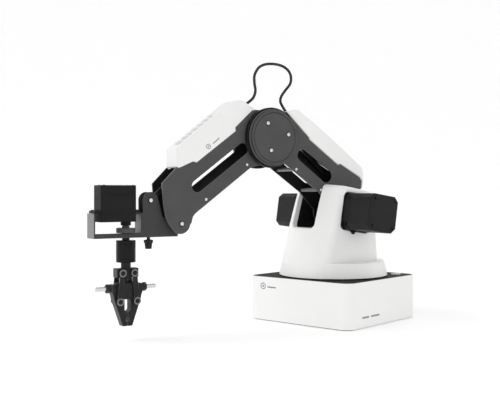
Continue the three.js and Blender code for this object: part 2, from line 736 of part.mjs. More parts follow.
function makeWrist() {
  const { half, sheet, bottom, rail, front, shelf } = BRACKET;
  const cheek = outline([
    [wrist.x - 9, wrist.z - 1, 9],
    [wrist.x - 2, bottom, 9],
    [front, bottom],
    [front, bottom + rail],
    [BRACKET.post, bottom + rail],
    [BRACKET.post, shelf],
    [EAR[0] + 10, EAR[1] - 2, 6],
    [EAR[0] + 7, EAR[1] + 10, 8],
    [EAR[0] - 8, EAR[1] + 9, 8],
    [wrist.x - 4, wrist.z + 10, 8],
  ]);
  const bracket = solid(across(cheek, half - sheet, half))
    .add(solid(across(cheek, -half, -half + sheet)))
    .add(solid(block([wrist.x + 12, front], [-half, half], [bottom, bottom + sheet])))
    .add(solid(block([front - sheet, front], [-half, half], [bottom, shelf])))
    .add(solid(block([BRACKET.post - sheet, BRACKET.post], [-half, half], [BRACKET.postFoot, shelf])))
    .add(solid(block([front - 8, front], [-half, half], [shelf - sheet, shelf])))
    .add(solid(block([BRACKET.post - 4, BRACKET.post + 5], [-half, half], [shelf - sheet, shelf])))
    .subtract(solid(post(4.6, 100, 125, TOOL_AXIS, 0, 20)))
    .subtract(solid(post(BOLT_HOLE + RUNNING, 100, 120, THUMB_X, 0, 12)))
    .subtract(solid(pin(WRIST_PIN + RUNNING, -20, 20, wrist.x, wrist.z, 12)))
    .subtract(solid(pin(ROD_PIN + RUNNING, -20, 20, ...EAR, 12)));
  piece(turret, "wrist_bracket", ARM_METAL, geometryOf(bracket));

  const rodBolt = join(
    pin(ROD_PIN, -half - 1, half + 1, ...EAR, 12),
    pin(PIVOT_HEAD, half + GAP, half + HEAD_REACH, ...EAR, 14),
    pin(PIVOT_HEAD, -half - HEAD_REACH, -half - GAP, ...EAR, 14),
  );
  piece(turret, "levelling_rod_bolt", STEEL, rodBolt);

  const servo = join(
    block([284.2, 323.5], [-9.6, 9.6], [130.6, 170.7]),
    block([278.4, 332.2], [-8.6, 8.6], [shelf + GAP, shelf + 2.8]),
    post(5.6, 126.4, 131, TOOL_AXIS, 0, 24),
    post(2.9, 122, 127, TOOL_AXIS, 0, 16),
  );
  piece(turret, "servo", BLACK_PLASTIC, servo);

  const thumb = join(
    turned([
      [0, 99.6],
      [3.4, 99.6],
      [4.3, 101],
      [4.3, 107],
      [5.2, 107.4],
      [5.2, 109.8],
      [0, 109.8],
    ], 24),
    post(BOLT_HOLE, 109, 118, 0, 0, 12),
  ).translate(THUMB_X, 0, 0);
  piece(turret, "thumb_screw", BLACK_METAL, thumb);
}
makeWrist();

// ---------- Gripper: x from the tool axis along the reach ----------
const tool = new THREE.Group();
tool.position.x = TOOL_AXIS;
turret.add(tool);

const HORN_RADIUS = 9.8;
const LINK_PIN = 1.7;
const GRIP_BLOCK = { half: 12.5, depth: 6, bottom: 45.6, top: 64 };
const CROSSHEAD = { half: 13, depth: 6, bottom: 69.6, top: 79.6 };

function slabOf({ half, depth, bottom, top }) {
  return block([-half, half], [-depth, depth], [bottom, top]);
}

function makeGripper() {
  const horn = cut(
    join(post(HORN_RADIUS, 118.6, 122.6, 0, 0, 32), post(5.2, 118.6, 124, 0, 0, 24)),
    post(2.9 + RUNNING, 121.6, 130, 0, 0, 16),
  );
  piece(tool, "servo_horn", BLACK_PLASTIC, horn);

  const [low, high] = CYLINDER_SPAN;
  const barrel = cut(
    turned([
      [0, low],
      [CYLINDER_RADIUS - 0.8, low],
      [CYLINDER_RADIUS, low + 0.8],
      [CYLINDER_RADIUS, high - 0.8],
      [CYLINDER_RADIUS - 0.8, high],
      [4.2, high],
      [4.2, 118.3],
      [0, 118.3],
    ]),
    post(PISTON_RADIUS + RUNNING, low - 1, low + 12),
    post(POST_RADIUS + GAP, low, low + 16, 0, 0, 16),
  );
  piece(tool, "air_cylinder", BLACK_METAL, barrel);
  piece(tool, "centre_post", STEEL, post(POST_RADIUS, GRIP_BLOCK.top + GAP, low + 15.5, 0, 0, 16));

  const pinEnd = LINK_LAYER[1] + 0.5;
  const head = cut(
    join(
      slabOf(CROSSHEAD),
      post(PISTON_RADIUS, CROSSHEAD.top - 1, low + 7),
      ...[-1, 1].map((sign) => pin(LINK_PIN, -pinEnd, pinEnd, sign * LINK_TOP[0], LINK_TOP[1], 12)),
    ),
    post(POST_RADIUS + RUNNING, 60, 100, 0, 0, 16),
  );
  piece(tool, "gripper_crosshead", BLACK_METAL, head);

  const body = cut(
    slabOf(GRIP_BLOCK),
    bar(GUIDE_RADIUS + GAP, -20, 20, 0, GUIDE_HEIGHT),
  );
  piece(tool, "gripper_block", BLACK_METAL, body);
  piece(tool, "guide_rod", STEEL, bar(GUIDE_RADIUS, -GUIDE_HALF, GUIDE_HALF, 0, GUIDE_HEIGHT));

  const linkLength = Math.hypot(JAW_PIVOT[0] - LINK_TOP[0], JAW_PIVOT[1] - LINK_TOP[1]);
  for (const [end, sign] of [["front", 1], ["back", -1]]) {
    for (const [side, flip] of [["left", 1], ["right", -1]]) {
      const layer = flip > 0 ? LINK_LAYER : [-LINK_LAYER[1], -LINK_LAYER[0]];
      const holder = new THREE.Group();
      holder.position.set(sign * LINK_TOP[0], 0, LINK_TOP[1]);
      holder.rotation.y = Math.atan2(LINK_TOP[1] - JAW_PIVOT[1], sign * (JAW_PIVOT[0] - LINK_TOP[0]));
      tool.add(holder);
      const link = cut(
        across(lever([0, 0], 3.6, [linkLength, 0], 4.4), ...layer),
        pin(LINK_PIN + RUNNING, -12, 12, 0, 0, 12),
        pin(2.6, -12, 12, linkLength, 0, 12),
      );
      piece(holder, "link_" + end + "_" + side, ARM_METAL, link);
    }
    piece(tool, "jaw_" + end, BLACK_METAL, jaw(sign));
  }
}

// One jaw: a collar on the guide rod, a side wall, and a finger that closes on the tool axis.
function jaw(sign) {
  const shape = outline([
    [13, 62.5, 2],
    [22, 62.5, 2],
    [22, 54, 2],
    [18.5, 51],
    [17.5, 42, 4],
    [7, 16],
    [0.4, 16],
    [0.4, 31, 1],
    [3.4, 34],
    [3.4, 44.9],
    [13, 44.9],
  ]);
  const whole = across(shape, -6, 6);
  const part = cut(whole, bar(GUIDE_RADIUS + RUNNING, 10, 30, 0, GUIDE_HEIGHT));
  const pivot = pin(1.6, -LINK_LAYER[1] - 0.5, LINK_LAYER[1] + 0.5, ...JAW_PIVOT, 12);
  return join(part, pivot).rotateZ(sign > 0 ? 0 : Math.PI);
}
makeGripper();

// ---------- Cable: a free loop over the elbow, from the forearm's cover into the rear arm's ----------
const CABLE_RADIUS = 1.7;
// Points of its route in the turret's directions, [x, z], all in the middle plane of the arm.
const CABLE_ROUTE = [
  [150, 262],
  [141, 266.6],
  [132.2, 271.9],
  [124.5, 278.5],
  [121.4, 287],
  [122.8, 296.5],
  [122.6, 306],
  [116.6, 315.5],
  [107.9, 320.2],
  [98.2, 321.9],
  [88, 321.8],
  [79.3, 320],
  [71.8, 315.5],
  [68, 308.5],
  [69.2, 299.5],
  [76.8, 290.5],
  [82.6, 283],
  [84.2, 276.5],
  [81, 270.5],
  [76.4, 264.7],
  [71, 258],
];
const CABLE_TOP = 9; // the route's point at the top of the loop

function cableHalf(name, from, to, stations) {
  const points = CABLE_ROUTE.map(([x, z]) => new THREE.Vector3(x, 0, z));
  const whole = new THREE.CatmullRomCurve3(points);
  const last = CABLE_ROUTE.length - 1;
  const share = (i) => (from + ((to - from) * i) / stations) / last;
  const stops = Array.from({ length: stations + 1 }, (_, i) => whole.getPoint(share(i)));
  const route = new THREE.CatmullRomCurve3(stops);
  const section = new THREE.Shape();
  for (let i = 0; i < 8; i += 1) {
    const angle = (i * Math.PI) / 4;
    const at = [CABLE_RADIUS * Math.cos(angle), CABLE_RADIUS * Math.sin(angle)];
    if (i === 0) section.moveTo(...at);
    else section.lineTo(...at);
  }
  section.closePath();
  const settings = { steps: stations, extrudePath: route, bevelEnabled: false, curveSegments: 1 };
  piece(turret, name, CABLE, new THREE.ExtrudeGeometry(section, settings));
}
cableHalf("elbow_cable_front", 0, CABLE_TOP - 0.03, 14);
cableHalf("elbow_cable_rear", CABLE_TOP + 0.03, CABLE_ROUTE.length - 1, 15);

export default robot;
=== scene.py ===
"""Looks of a desktop robot arm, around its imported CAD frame. Metres, +Z up; shapes are drawn in millimetres."""

import json
from math import acos, atan2, copysign, cos, degrees, dist, hypot, pi, radians, sin, sqrt, tan

import bmesh
import bpy
from mathutils import Matrix, Vector
from mathutils.geometry import tessellate_polygon


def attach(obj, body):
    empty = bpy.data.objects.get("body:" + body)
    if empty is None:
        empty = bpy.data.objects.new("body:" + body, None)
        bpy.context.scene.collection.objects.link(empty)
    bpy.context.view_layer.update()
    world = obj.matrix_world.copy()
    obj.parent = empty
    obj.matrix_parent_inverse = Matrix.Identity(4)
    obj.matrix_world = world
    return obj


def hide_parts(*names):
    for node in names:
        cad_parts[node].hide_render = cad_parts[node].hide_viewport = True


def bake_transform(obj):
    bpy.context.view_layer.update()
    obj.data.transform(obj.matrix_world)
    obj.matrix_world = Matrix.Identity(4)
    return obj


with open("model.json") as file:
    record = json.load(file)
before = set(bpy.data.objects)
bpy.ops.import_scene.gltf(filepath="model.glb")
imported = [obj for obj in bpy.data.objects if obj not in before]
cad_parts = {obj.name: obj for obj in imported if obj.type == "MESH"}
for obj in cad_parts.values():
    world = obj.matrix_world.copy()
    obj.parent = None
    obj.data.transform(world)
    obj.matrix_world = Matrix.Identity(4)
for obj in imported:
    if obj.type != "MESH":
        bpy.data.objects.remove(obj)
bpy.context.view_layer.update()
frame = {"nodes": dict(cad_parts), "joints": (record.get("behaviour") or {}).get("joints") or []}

# ---------- Frames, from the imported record's joints ----------
MM = 0.001
JOINTS = {joint["name"]: joint for joint in frame["joints"]}


def joint_place(name):
    """A joint's point in millimetres."""
    return Vector(JOINTS[name]["pos_m"]) / MM


SHOULDER = joint_place("shoulder")
ELBOW = joint_place("elbow_level")
WRIST = joint_place("wrist_level")
HEADING = atan2(ELBOW.y, ELBOW.x)
TURRET = Matrix.Rotation(HEADING, 4, "Z")
SHOULDER_H = SHOULDER.z
ELBOW_X = ELBOW.xy.length
ELBOW_H = ELBOW.z
WRIST_X = WRIST.xy.length
WRIST_H = WRIST.z
REAR_LENGTH = hypot(ELBOW_X, ELBOW_H - SHOULDER_H)
FORE_LENGTH = hypot(WRIST_X - ELBOW_X, WRIST_H - ELBOW_H)
REAR_RISE = atan2(ELBOW_H - SHOULDER_H, ELBOW_X)
FORE_DROP = atan2(ELBOW_H - WRIST_H, WRIST_X - ELBOW_X)


def arm_frame(x, z, rise):
    """A frame in the arm's middle plane: x along the arm, y to its left, z square to it."""
    return TURRET @ Matrix.Translation((x, 0, z)) @ Matrix.Rotation(-rise, 4, "Y")


REAR = arm_frame(0, SHOULDER_H, REAR_RISE)
FORE = arm_frame(ELBOW_X, ELBOW_H, -FORE_DROP)
TOOL_X = 292.5
TOOL = arm_frame(TOOL_X, 0, 0)
WORLD = Matrix.Identity(4)


# ---------- Camera: the one fitted to the photograph ----------
def make_camera():
    camera = bpy.data.objects.new("camera", bpy.data.cameras.new("camera"))
    camera.data.lens = 56.457
    camera.data.sensor_width = 36
    camera.data.clip_start = 0.01
    camera.data.clip_end = 50
    camera.location = (0.595077, -0.839825, 0.160652)
    yaw, pitch = -0.722, radians(-0.41)
    ahead = Vector((sin(yaw) * cos(pitch), cos(yaw) * cos(pitch), sin(pitch)))
    camera.rotation_euler = ahead.to_track_quat("-Z", "Y").to_euler()
    bpy.context.scene.collection.objects.link(camera)
    bpy.context.scene.camera = camera


make_camera()


# ---------- Outlines: lists of 2-D points in millimetres ----------
def corner_points(before, corner, after, steps):
    """The points of one corner: (x, y) as it is, or (x, y, radius) rounded by a quadratic curve."""
    here = Vector(corner[:2])
    radius = corner[2] if len(corner) > 2 else 0
    if not radius:
        return [here]
    ways = [Vector(other[:2]) - here for other in (before, after)]
    start, end = (here + way.normalized() * min(radius, way.length * 0.49) for way in ways)
    shares = [k / steps for k in range(steps + 1)]
    return [start * (1 - t) ** 2 + here * 2 * t * (1 - t) + end * t * t for t in shares]


def rounded(corners, steps=10):
    """A closed outline, rounded at each corner that has a radius."""
    sides = zip(corners[-1:] + corners[:-1], corners, corners[1:] + corners[:1])
    return [point for side in sides for point in corner_points(*side, steps)]


def arc(x, y, radius, start, end, steps=32):
    """Points on an arc, its angles in degrees."""
    turns = [radians(start + (end - start) * k / steps) for k in range(steps + 1)]
    return [Vector((x + radius * cos(t), y + radius * sin(t))) for t in turns]


def ring(radius, x=0, y=0, steps=48):
    return arc(x, y, radius, 0, 360 - 360 / steps, steps - 1)


def lever(a, ra, b, rb, steps=20):
    """Two rounds joined by straight sides."""
    line = degrees(atan2(b[1] - a[1], b[0] - a[0]))
    lean = degrees(acos((ra - rb) / hypot(b[0] - a[0], b[1] - a[1])))
    return arc(*a, ra, line + lean, line - lean + 360, steps) + arc(*b, rb, line - lean, line + lean, steps)


def square(width, height, radius=0.0, steps=10, x=0, y=0):
    """A rectangle about (x, y) with true round corners."""
    half_w, half_h = width / 2 - radius, height / 2 - radius
    points = []
    for i, (right, up) in enumerate(((1, 1), (-1, 1), (-1, -1), (1, -1))):
        cx, cy = x + right * half_w, y + up * half_h
        points += arc(cx, cy, radius, 90 * i, 90 * i + 90, steps) if radius else [Vector((cx, cy))]
    return points


def turning(points):
    """Twice the signed area: positive when the loop runs anticlockwise."""
    return sum(a.x * b.y - b.x * a.y for a, b in zip(points, points[1:] + points[:1]))


def cleaned(points, anticlockwise):
    """The loop without repeated points, turning the given way."""
    kept = [p for p, q in zip(points, points[-1:] + points[:-1]) if (p - q).length > 1e-4]
    return kept if (turning(kept) > 0) == anticlockwise else kept[::-1]


def inward(points):
    """At each point, the step that moves both its edges 1 mm to the left."""
    steps = []
    for before, here, after in zip(points[-1:] + points[:-1], points, points[1:] + points[:1]):
        a, b = (here - before).normalized(), (after - here).normalized()
        na, nb = Vector((-a.y, a.x)), Vector((-b.y, b.x))
        middle = na + nb
        steps.append(middle / max(0.35, 1 + na.dot(nb)))
    return steps


# ---------- Solids: bmeshes in millimetres ----------
def slab(outer, low, high, holes=(), bevel=0.3, steps=2, plan=False):
    """An outline with holes, given depth upward if drawn in plan, or else along y.

    Its flat faces have material 0 and its edges material 1.
    """
    loops = [cleaned(outer, True)] + [cleaned(hole, False) for hole in holes]
    bevel = min(bevel, (high - low) * 0.49)
    quarter = [pi / 2 * k / steps for k in range(steps + 1)] if bevel else [pi / 2]
    section = [(bevel * (1 - sin(t)), bevel * (1 - cos(t))) for t in quarter]
    levels = [(inset, low + depth) for inset, depth in section]
    levels += [(inset, high - depth) for inset, depth in section[::-1]]
    bm = bmesh.new()
    caps = []
    for points in loops:
        normals = inward(points)
        rows = [
            [bm.verts.new((p.x + n.x * inset, p.y + n.y * inset, level)) for p, n in zip(points, normals)]
            for inset, level in levels
        ]
        for row, following in zip(rows, rows[1:]):
            for i in range(len(points)):
                j = (i + 1) % len(points)
                bm.faces.new((row[i], row[j], following[j], following[i])).material_index = 1
        caps.append((rows[0], rows[-1]))
    for end in (0, 1):
        verts = [v for pair in caps for v in pair[end]]
        for corners in tessellate_polygon([[v.co.copy() for v in pair[end]] for pair in caps]):
            if len(set(corners)) == 3:
                try:
                    bm.faces.new([verts[c] for c in corners])
                except ValueError:
                    pass
    if not plan:
        stood_up = Matrix(((1, 0, 0, 0), (0, 0, 1, 0), (0, 1, 0, 0), (0, 0, 0, 1)))
        bmesh.ops.transform(bm, matrix=stood_up, verts=bm.verts)
    bmesh.ops.recalc_face_normals(bm, faces=bm.faces)
    return bm


def loft(rings, closed=False):
    """A skin over rings of equally many 3-D points, capped at both ends, or closed round."""
    bm = bmesh.new()
    rows = [[bm.verts.new(p) for p in points] for points in rings]
    pairs = list(zip(rows, rows[1:] + rows[:1])) if closed else list(zip(rows, rows[1:]))
    for row, following in pairs:
        for i in range(len(row)):
            j = (i + 1) % len(row)
            bm.faces.new((row[i], row[j], following[j], following[i]))
    if not closed:
        bm.faces.new(rows[0][::-1])
        bm.faces.new(rows[-1])
    bmesh.ops.recalc_face_normals(bm, faces=bm.faces)
    return bm


AXES = {
    "z": Matrix.Identity(4),
    "y": Matrix.Rotation(-pi / 2, 4, "X"),
    "x": Matrix.Rotation(pi / 2, 4, "Y"),
}


def lathe(profile, sides=64, axis="z", at=(0, 0, 0), ripple=None):
    """A solid of revolution. profile is (radius, height, fillet) from axis to axis.

    ripple(turn, point) scales the radius.
    """
    bm = bmesh.new()
    rows = []
    for p in open_rounded(profile):
        if p.x < 1e-6:
            rows.append([bm.verts.new((0, 0, p.y))])
            continue
        row = []
        for k in range(sides):
            turn = 2 * pi * k / sides
            radius = p.x * (ripple(turn, p) if ripple else 1)
            row.append(bm.verts.new((radius * cos(turn), radius * sin(turn), p.y)))
        rows.append(row)
    for row, following in zip(rows, rows[1:]):
        for i in range(sides):
            j = (i + 1) % sides
            near, far = len(row), len(following)
            corners = [row[i % near], row[j % near], following[j % far], following[i % far]]
            unique = list(dict.fromkeys(corners))
            if len(unique) > 2:
                bm.faces.new(unique)
    bmesh.ops.recalc_face_normals(bm, faces=bm.faces)
    return moved(bm, Matrix.Translation(at) @ AXES[axis])


def open_rounded(profile, steps=4):
    """An open line of (x, y, radius) points with its inner corners rounded."""
    threes = zip(profile, profile[1:], profile[2:])
    inner = [point for three in threes for point in corner_points(*three, steps)]
    return [Vector(profile[0][:2]), *inner, Vector(profile[-1][:2])]


def rod(radius, low, high, axis="y", at=(0, 0, 0), edge=0.3, sides=40):
    """A round bar with rounded ends; low and high run along its axis."""
    edge = min(edge, radius * 0.4, (high - low) * 0.3)
    return lathe([(0, low), (radius, low, edge), (radius, high, edge), (0, high)], sides, axis, at)


def tube(outer, inner, low, high, axis="y", at=(0, 0, 0), edge=0.3, sides=56):
    """A round bar with a bore."""
    edge = min(edge, (outer - inner) * 0.4, (high - low) * 0.4)
    corners = [(inner, low, edge), (outer, low, edge), (outer, high, edge), (inner, high, edge)]
    section = rounded(corners, 4)
    rings = [
        [(p.x * cos(t), p.x * sin(t), p.y) for p in section]
        for t in (2 * pi * k / sides for k in range(sides))
    ]
    return moved(loft(rings, closed=True), Matrix.Translation(at) @ AXES[axis])


def box(x, y, z, bevel=0.3, steps=2, corner=0.0):
    """A block with rounded edges; x, y and z are (low, high)."""
    width, depth = x[1] - x[0], y[1] - y[0]
    radius = corner or bevel
    outline = square(width, depth, min(radius, width * 0.45, depth * 0.45), 4, sum(x) / 2, sum(y) / 2)
    return slab(outline, *z, bevel=bevel, steps=steps, plan=True)


def moved(bm, matrix):
    bmesh.ops.transform(bm, matrix=matrix, verts=bm.verts)
    if matrix.determinant() < 0:
        bmesh.ops.reverse_faces(bm, faces=bm.faces)
    return bm


def merged(*parts):
    """Several solids as one mesh, each still a closed body of its own."""
    whole = bmesh.new()
    for part in parts:
        mesh = bpy.data.meshes.new("part")
        part.to_mesh(mesh)
        whole.from_mesh(mesh)
        bpy.data.meshes.remove(mesh)
    return whole


def painted(bm, index=0):
    """The same solid with every face given that material."""
    for face in bm.faces:
        face.material_index = index
    return bm


def placed(name, bm):
    """bm as an object in the scene."""
    mesh = bpy.data.meshes.new(name)
    bm.to_mesh(mesh)
    bm.free()
    obj = bpy.data.objects.new(name, mesh)
    bpy.context.scene.collection.objects.link(obj)
    return obj


def discard(obj):
    mesh = obj.data
    bpy.data.objects.remove(obj)
    bpy.data.meshes.remove(mesh)


def evaluated(obj):
    """obj's mesh with its modifiers, as a new bmesh."""
    bpy.context.view_layer.update()
    result = obj.evaluated_get(bpy.context.evaluated_depsgraph_get())
    bm = bmesh.new()
    bm.from_mesh(result.to_mesh())
    result.to_mesh_clear()
    return bm


def boolean(bm, tools, operation="DIFFERENCE"):
    """bm cut by, or joined with, each tool in turn."""
    base = placed("base", bm)
    helpers = [placed("tool", tool) for tool in tools]
    for helper in helpers:
        step = base.modifiers.new("boolean", "BOOLEAN")
        step.object = helper
        step.operation = operation
        step.solver = "EXACT"
    result = evaluated(base)
    for obj in [base, *helpers]:
        discard(obj)
    return result


def softened(bm, width):
    """The solid with its sharp edges rounded; the rounds take the second material."""
    bmesh.ops.remove_doubles(bm, verts=bm.verts, dist=0.002)
    bmesh.ops.dissolve_limit(
        bm, angle_limit=radians(1), verts=bm.verts, edges=bm.edges, use_dissolve_boundaries=False
    )
    obj = placed("solid", bm)
    step = obj.modifiers.new("bevel", "BEVEL")
    step.width = width
    step.segments = 2
    step.limit_method = "ANGLE"
    step.angle_limit = radians(35)
    step.use_clamp_overlap = True
    step.miter_outer = "MITER_ARC"
    step.material = 1
    result = evaluated(obj)
    discard(obj)
    return result


# ---------- Materials ----------
def linear(shade):
    """An sRGB colour, one grey or three channels from 0 to 255, as linear RGBA."""
    channels = shade if isinstance(shade, tuple) else (shade,) * 3
    values = [c / 255 for c in channels]
    return (*[v / 12.92 if v <= 0.04045 else ((v + 0.055) / 1.055) ** 2.4 for v in values], 1)


class Nodes:
    """A small builder of shader nodes on an object's own coordinates, which are metres in the row frame."""

    def __init__(self, name):
        self.material = bpy.data.materials.new(name)
        self.material.use_nodes = True
        self.tree = self.material.node_tree
        self.bsdf = self.tree.nodes["Principled BSDF"]
        self.coords = self.add("ShaderNodeTexCoord").outputs["Object"]

    def add(self, kind, **inputs):
        node = self.tree.nodes.new(kind)
        for key, value in inputs.items():
            self.feed(node.inputs[key.replace("_", " ")], value)
        return node

    def feed(self, socket, value):
        if isinstance(value, bpy.types.NodeSocket):
            self.tree.links.new(value, socket)
        else:
            socket.default_value = value

    def noise(self, scale, detail=2.0, roughness=0.5, stretch=None):
        vector = self.coords
        if stretch:
            vector = self.add("ShaderNodeMapping", Vector=vector, Scale=stretch).outputs["Vector"]
        node = self.add("ShaderNodeTexNoise", Vector=vector, Scale=scale, Detail=detail, Roughness=roughness)
        return node.outputs["Fac"]

    def spread(self, value, low, high):
        """The middle of a noise's values, spread from low to high."""
        spots = {"From_Min": 0.3, "From_Max": 0.7, "To_Min": low, "To_Max": high}
        return self.add("ShaderNodeMapRange", Value=value, **spots).outputs["Result"]

    def mix(self, factor, a, b):
        node = self.tree.nodes.new("ShaderNodeMix")
        node.data_type = "RGBA"
        self.feed(node.inputs[0], factor)
        self.feed(node.inputs[6], a)
        self.feed(node.inputs[7], b)
        return node.outputs[2]


def surface(
    name, shade, rough, metal=0.0, variation=0.06, grain=(1500, 0.08), patches=60, stretch=None, specular=0.5
):
    """A finish with drifting colour, uneven gloss and a fine grain in its surface."""
    n = Nodes(name)
    colour = linear(shade)
    dark = tuple(c * (1 - variation) for c in colour[:3]) + (1,)
    light = tuple(min(1, c * (1 + variation)) for c in colour[:3]) + (1,)
    drift = n.spread(n.noise(patches, 3), 0, 1)
    base = n.mix(drift, dark, light)
    n.feed(n.bsdf.inputs["Base Color"], base)
    fine = n.noise(grain[0], 3, 0.6, stretch)
    smear = n.noise(patches * 2.5, 5, 0.6, stretch)
    n.feed(n.bsdf.inputs["Roughness"], n.spread(smear, rough[0], rough[1]))
    bump = n.add("ShaderNodeBump", Height=fine, Strength=grain[1], Distance=0.0004)
    n.feed(n.bsdf.inputs["Normal"], bump.outputs["Normal"])
    n.bsdf.inputs["Metallic"].default_value = metal
    n.bsdf.inputs["Specular IOR Level"].default_value = specular
    return n.material


SHELL_FINISH = {"rough": (0.36, 0.5), "variation": 0.012, "grain": (2600, 0.05), "patches": 18}
WHITE = surface("white_shell", (243, 243, 242), specular=0.3, **SHELL_FINISH)
LID = surface("lid_paint", 50, (0.5, 0.62), variation=0.08, grain=(2400, 0.16), specular=0.02)
METAL = surface("arm_metal", 78, (0.42, 0.54), 0.1, 0.05, (3200, 0.12), 45, specular=0.2)
METAL_EDGE = surface("arm_metal_edge", 104, (0.32, 0.44), 0.3, 0.06, (3000, 0.08), 60, specular=0.3)
BRACKET = surface("bracket_metal", 62, (0.42, 0.54), 0.1, 0.05, (3200, 0.1), 45, specular=0.22)
BAR = surface("standoff_metal", 128, (0.34, 0.46), 0.4, 0.06, (2600, 0.08), 60, specular=0.3)
BLACK_METAL = surface("black_metal", 27, (0.32, 0.44), 0.2, 0.10, (2600, 0.1), 80, specular=0.3)
BLACK_EDGE = surface("black_metal_edge", 74, (0.32, 0.44), 0.4, 0.10, (2600, 0.08), 80, specular=0.3)
CYLINDER = surface("cylinder_metal", 4, (0.2, 0.28), 0.0, 0.10, (2600, 0.06), 80, specular=0.2)
BLACK = surface("black_plastic", 24, (0.46, 0.58), variation=0.08, grain=(2200, 0.14), specular=0.16)
MOTOR = surface("motor_case", 30, (0.46, 0.58), variation=0.07, grain=(1900, 0.18), specular=0.16)
RUBBER = surface("rubber", 24, (0.75, 0.9), variation=0.12, grain=(1200, 0.4), specular=0.15)
STEEL = surface("bright_steel", 214, (0.16, 0.26), 1.0, 0.04, (1800, 0.04), 120, stretch=(1, 1, 9))
ALUMINIUM = surface("machined_aluminium", 190, (0.28, 0.4), 0.95, 0.05, (1500, 0.08), 90, stretch=(1, 1, 14))
BOARD = surface("circuit_board", (31, 90, 58), (0.35, 0.5), variation=0.15, grain=(900, 0.2), patches=240)
LAMP = surface("lamp", (226, 240, 236), (0.25, 0.35), variation=0.03, grain=(900, 0.04))
PRINT = surface("printed_mark", 138, (0.5, 0.6), variation=0.05, grain=(3000, 0.05))
# Painted shade: a darker copy of the white shell for the covers' top and edge faces.
WHITE_SHADED = surface("white_shell_shaded", (234, 234, 233), **SHELL_FINISH)
TRIM = surface("cover_trim", 226, (0.4, 0.5), variation=0.03, grain=(2200, 0.08))
PALE = surface("pale_plastic", 210, (0.4, 0.5), variation=0.03, grain=(2200, 0.08))
CABLE = surface("cable", 42, (0.5, 0.62), variation=0.10, grain=(3200, 0.2), patches=140, specular=0.3)
COVER = [WHITE, WHITE_SHADED]


# ---------- Pieces ----------
def weigh_normals(obj):
    for polygon in obj.data.polygons:
        polygon.use_smooth = True
    normals = obj.modifiers.new("normals", "WEIGHTED_NORMAL")
    normals.keep_sharp = True


def shade(obj, sharp=42):
    """Smooth over rounded edges and crisp at the rest."""
    weigh_normals(obj)
    obj.data.set_sharp_from_angle(angle=radians(sharp))


def piece(name, bm, place, body, materials, replaces=(), sharp=42):
    """A finished piece: bm in millimetres in the frame place, riding on body."""
    obj = placed(name, moved(bm, Matrix.Scale(MM, 4) @ place))
    materials = materials if isinstance(materials, list) else [materials]
    for material in materials:
        obj.data.materials.append(material)
    for polygon in obj.data.polygons:
        polygon.material_index = min(polygon.material_index, len(materials) - 1)
    shade(obj, sharp)
    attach(obj, body)
    if replaces:
        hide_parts(*replaces)
    return obj


HEX = [Vector((cos(radians(60 * k)), sin(radians(60 * k)))) for k in range(6)]


def dome_head(radius, height, axis="y", at=(0, 0, 0), flip=False, socket=0.42):
    """A button-head screw seated at the point at, its head towards +axis, with a hexagon socket."""
    profile = [(0, 0), (radius, 0, 0.1), (radius, height * 0.3, 0.2)]
    profile += [
        (radius * cos(t), height * (0.3 + 0.7 * sin(t)))
        for t in (radians(a) for a in (15, 30, 45, 60, 75))
    ]
    profile.append((0, height))
    head = lathe(profile, 36)
    hole = slab([p * radius * socket for p in HEX], height * 0.45, height * 2, bevel=0, plan=True)
    head = boolean(head, [hole])
    turn = Matrix.Rotation(pi, 4, "X") if flip else Matrix.Identity(4)
    return moved(head, Matrix.Translation(at) @ AXES[axis] @ turn)


def both_heads(radius, height, x, y, z):
    """A screw head on either side of the arm."""
    return [dome_head(radius, height, "y", (x, sign * y, z), flip=sign < 0) for sign in (1, -1)]


def pin(radius, reach, half, x, z):
    """A pin across the arm with a screw head at each end."""
    bar = rod(radius, -half - reach, half + reach, "y", (x, 0, z))
    return merged(bar, *both_heads(2.5, 1.5, x, half + 0.5, z))


def shadow_rings(half, x, z):
    # Painted shade: dark rings round each pin end stand for the shadow gap of the hole it sits in.
    layers = [side_span(sign)(half, half + 0.6) for sign in (1, -1)]
    return merged(*[tube(3.3, 1.2, *layer, "y", (x, 0, z), 0.15) for layer in layers])


def side_span(sign):
    """span(a, b): the layer from a to b out from the middle, on the side that sign gives."""
    return lambda a, b: (a, b) if sign > 0 else (-b, -a)


def mirrored(builder):
    """Both sides of the arm."""
    for side, sign in (("left", 1), ("right", -1)):
        builder(side, sign, side_span(sign))


# ---------- Cable: two halves of one loop over the elbow ----------
CABLE_RADIUS = 1.7
CABLE_ROUTE = [
    (150, 262), (141, 266.6), (132.2, 271.9), (124.5, 278.5), (121.4, 287), (122.8, 296.5), (122.6, 306),
    (116.6, 315.5), (107.9, 320.2), (98.2, 321.9), (88, 321.8), (79.3, 320), (71.8, 315.5), (68, 308.5),
    (69.2, 299.5), (76.8, 290.5), (82.6, 283), (84.2, 276.5), (81, 270.5), (76.4, 264.7), (71, 258),
]
CABLE_TOP = 9


def smooth_route(first, last, steps=8):
    """Points along the route between two of its corners, on a Catmull-Rom curve."""
    corners = [Vector(p) for p in CABLE_ROUTE]
    ends = [corners[0] * 2 - corners[1], *corners, corners[-1] * 2 - corners[-2]]
    points = []
    for i in range(first, last):
        a, b, c, d = ends[i : i + 4]
        for k in range(steps):
            t = k / steps
            bend = 2 * a - 5 * b + 4 * c - d
            points.append(0.5 * (2 * b + (c - a) * t + bend * t * t + (3 * b - a - 3 * c + d) * t**3))
    points.append(corners[last])
    return points


def tube_along(points, radius, sides=16):
    """A round tube along points of the arm's middle plane."""
    rings = []
    for i, p in enumerate(points):
        ahead = (points[min(i + 1, len(points) - 1)] - points[max(i - 1, 0)]).normalized()
        across = Vector((-ahead.y, 0, ahead.x))
        rings.append([
            Vector((p.x, 0, p.y)) + across * radius * cos(t) + Vector((0, radius * sin(t), 0))
            for t in (2 * pi * k / sides for k in range(sides))
        ])
    return loft(rings)


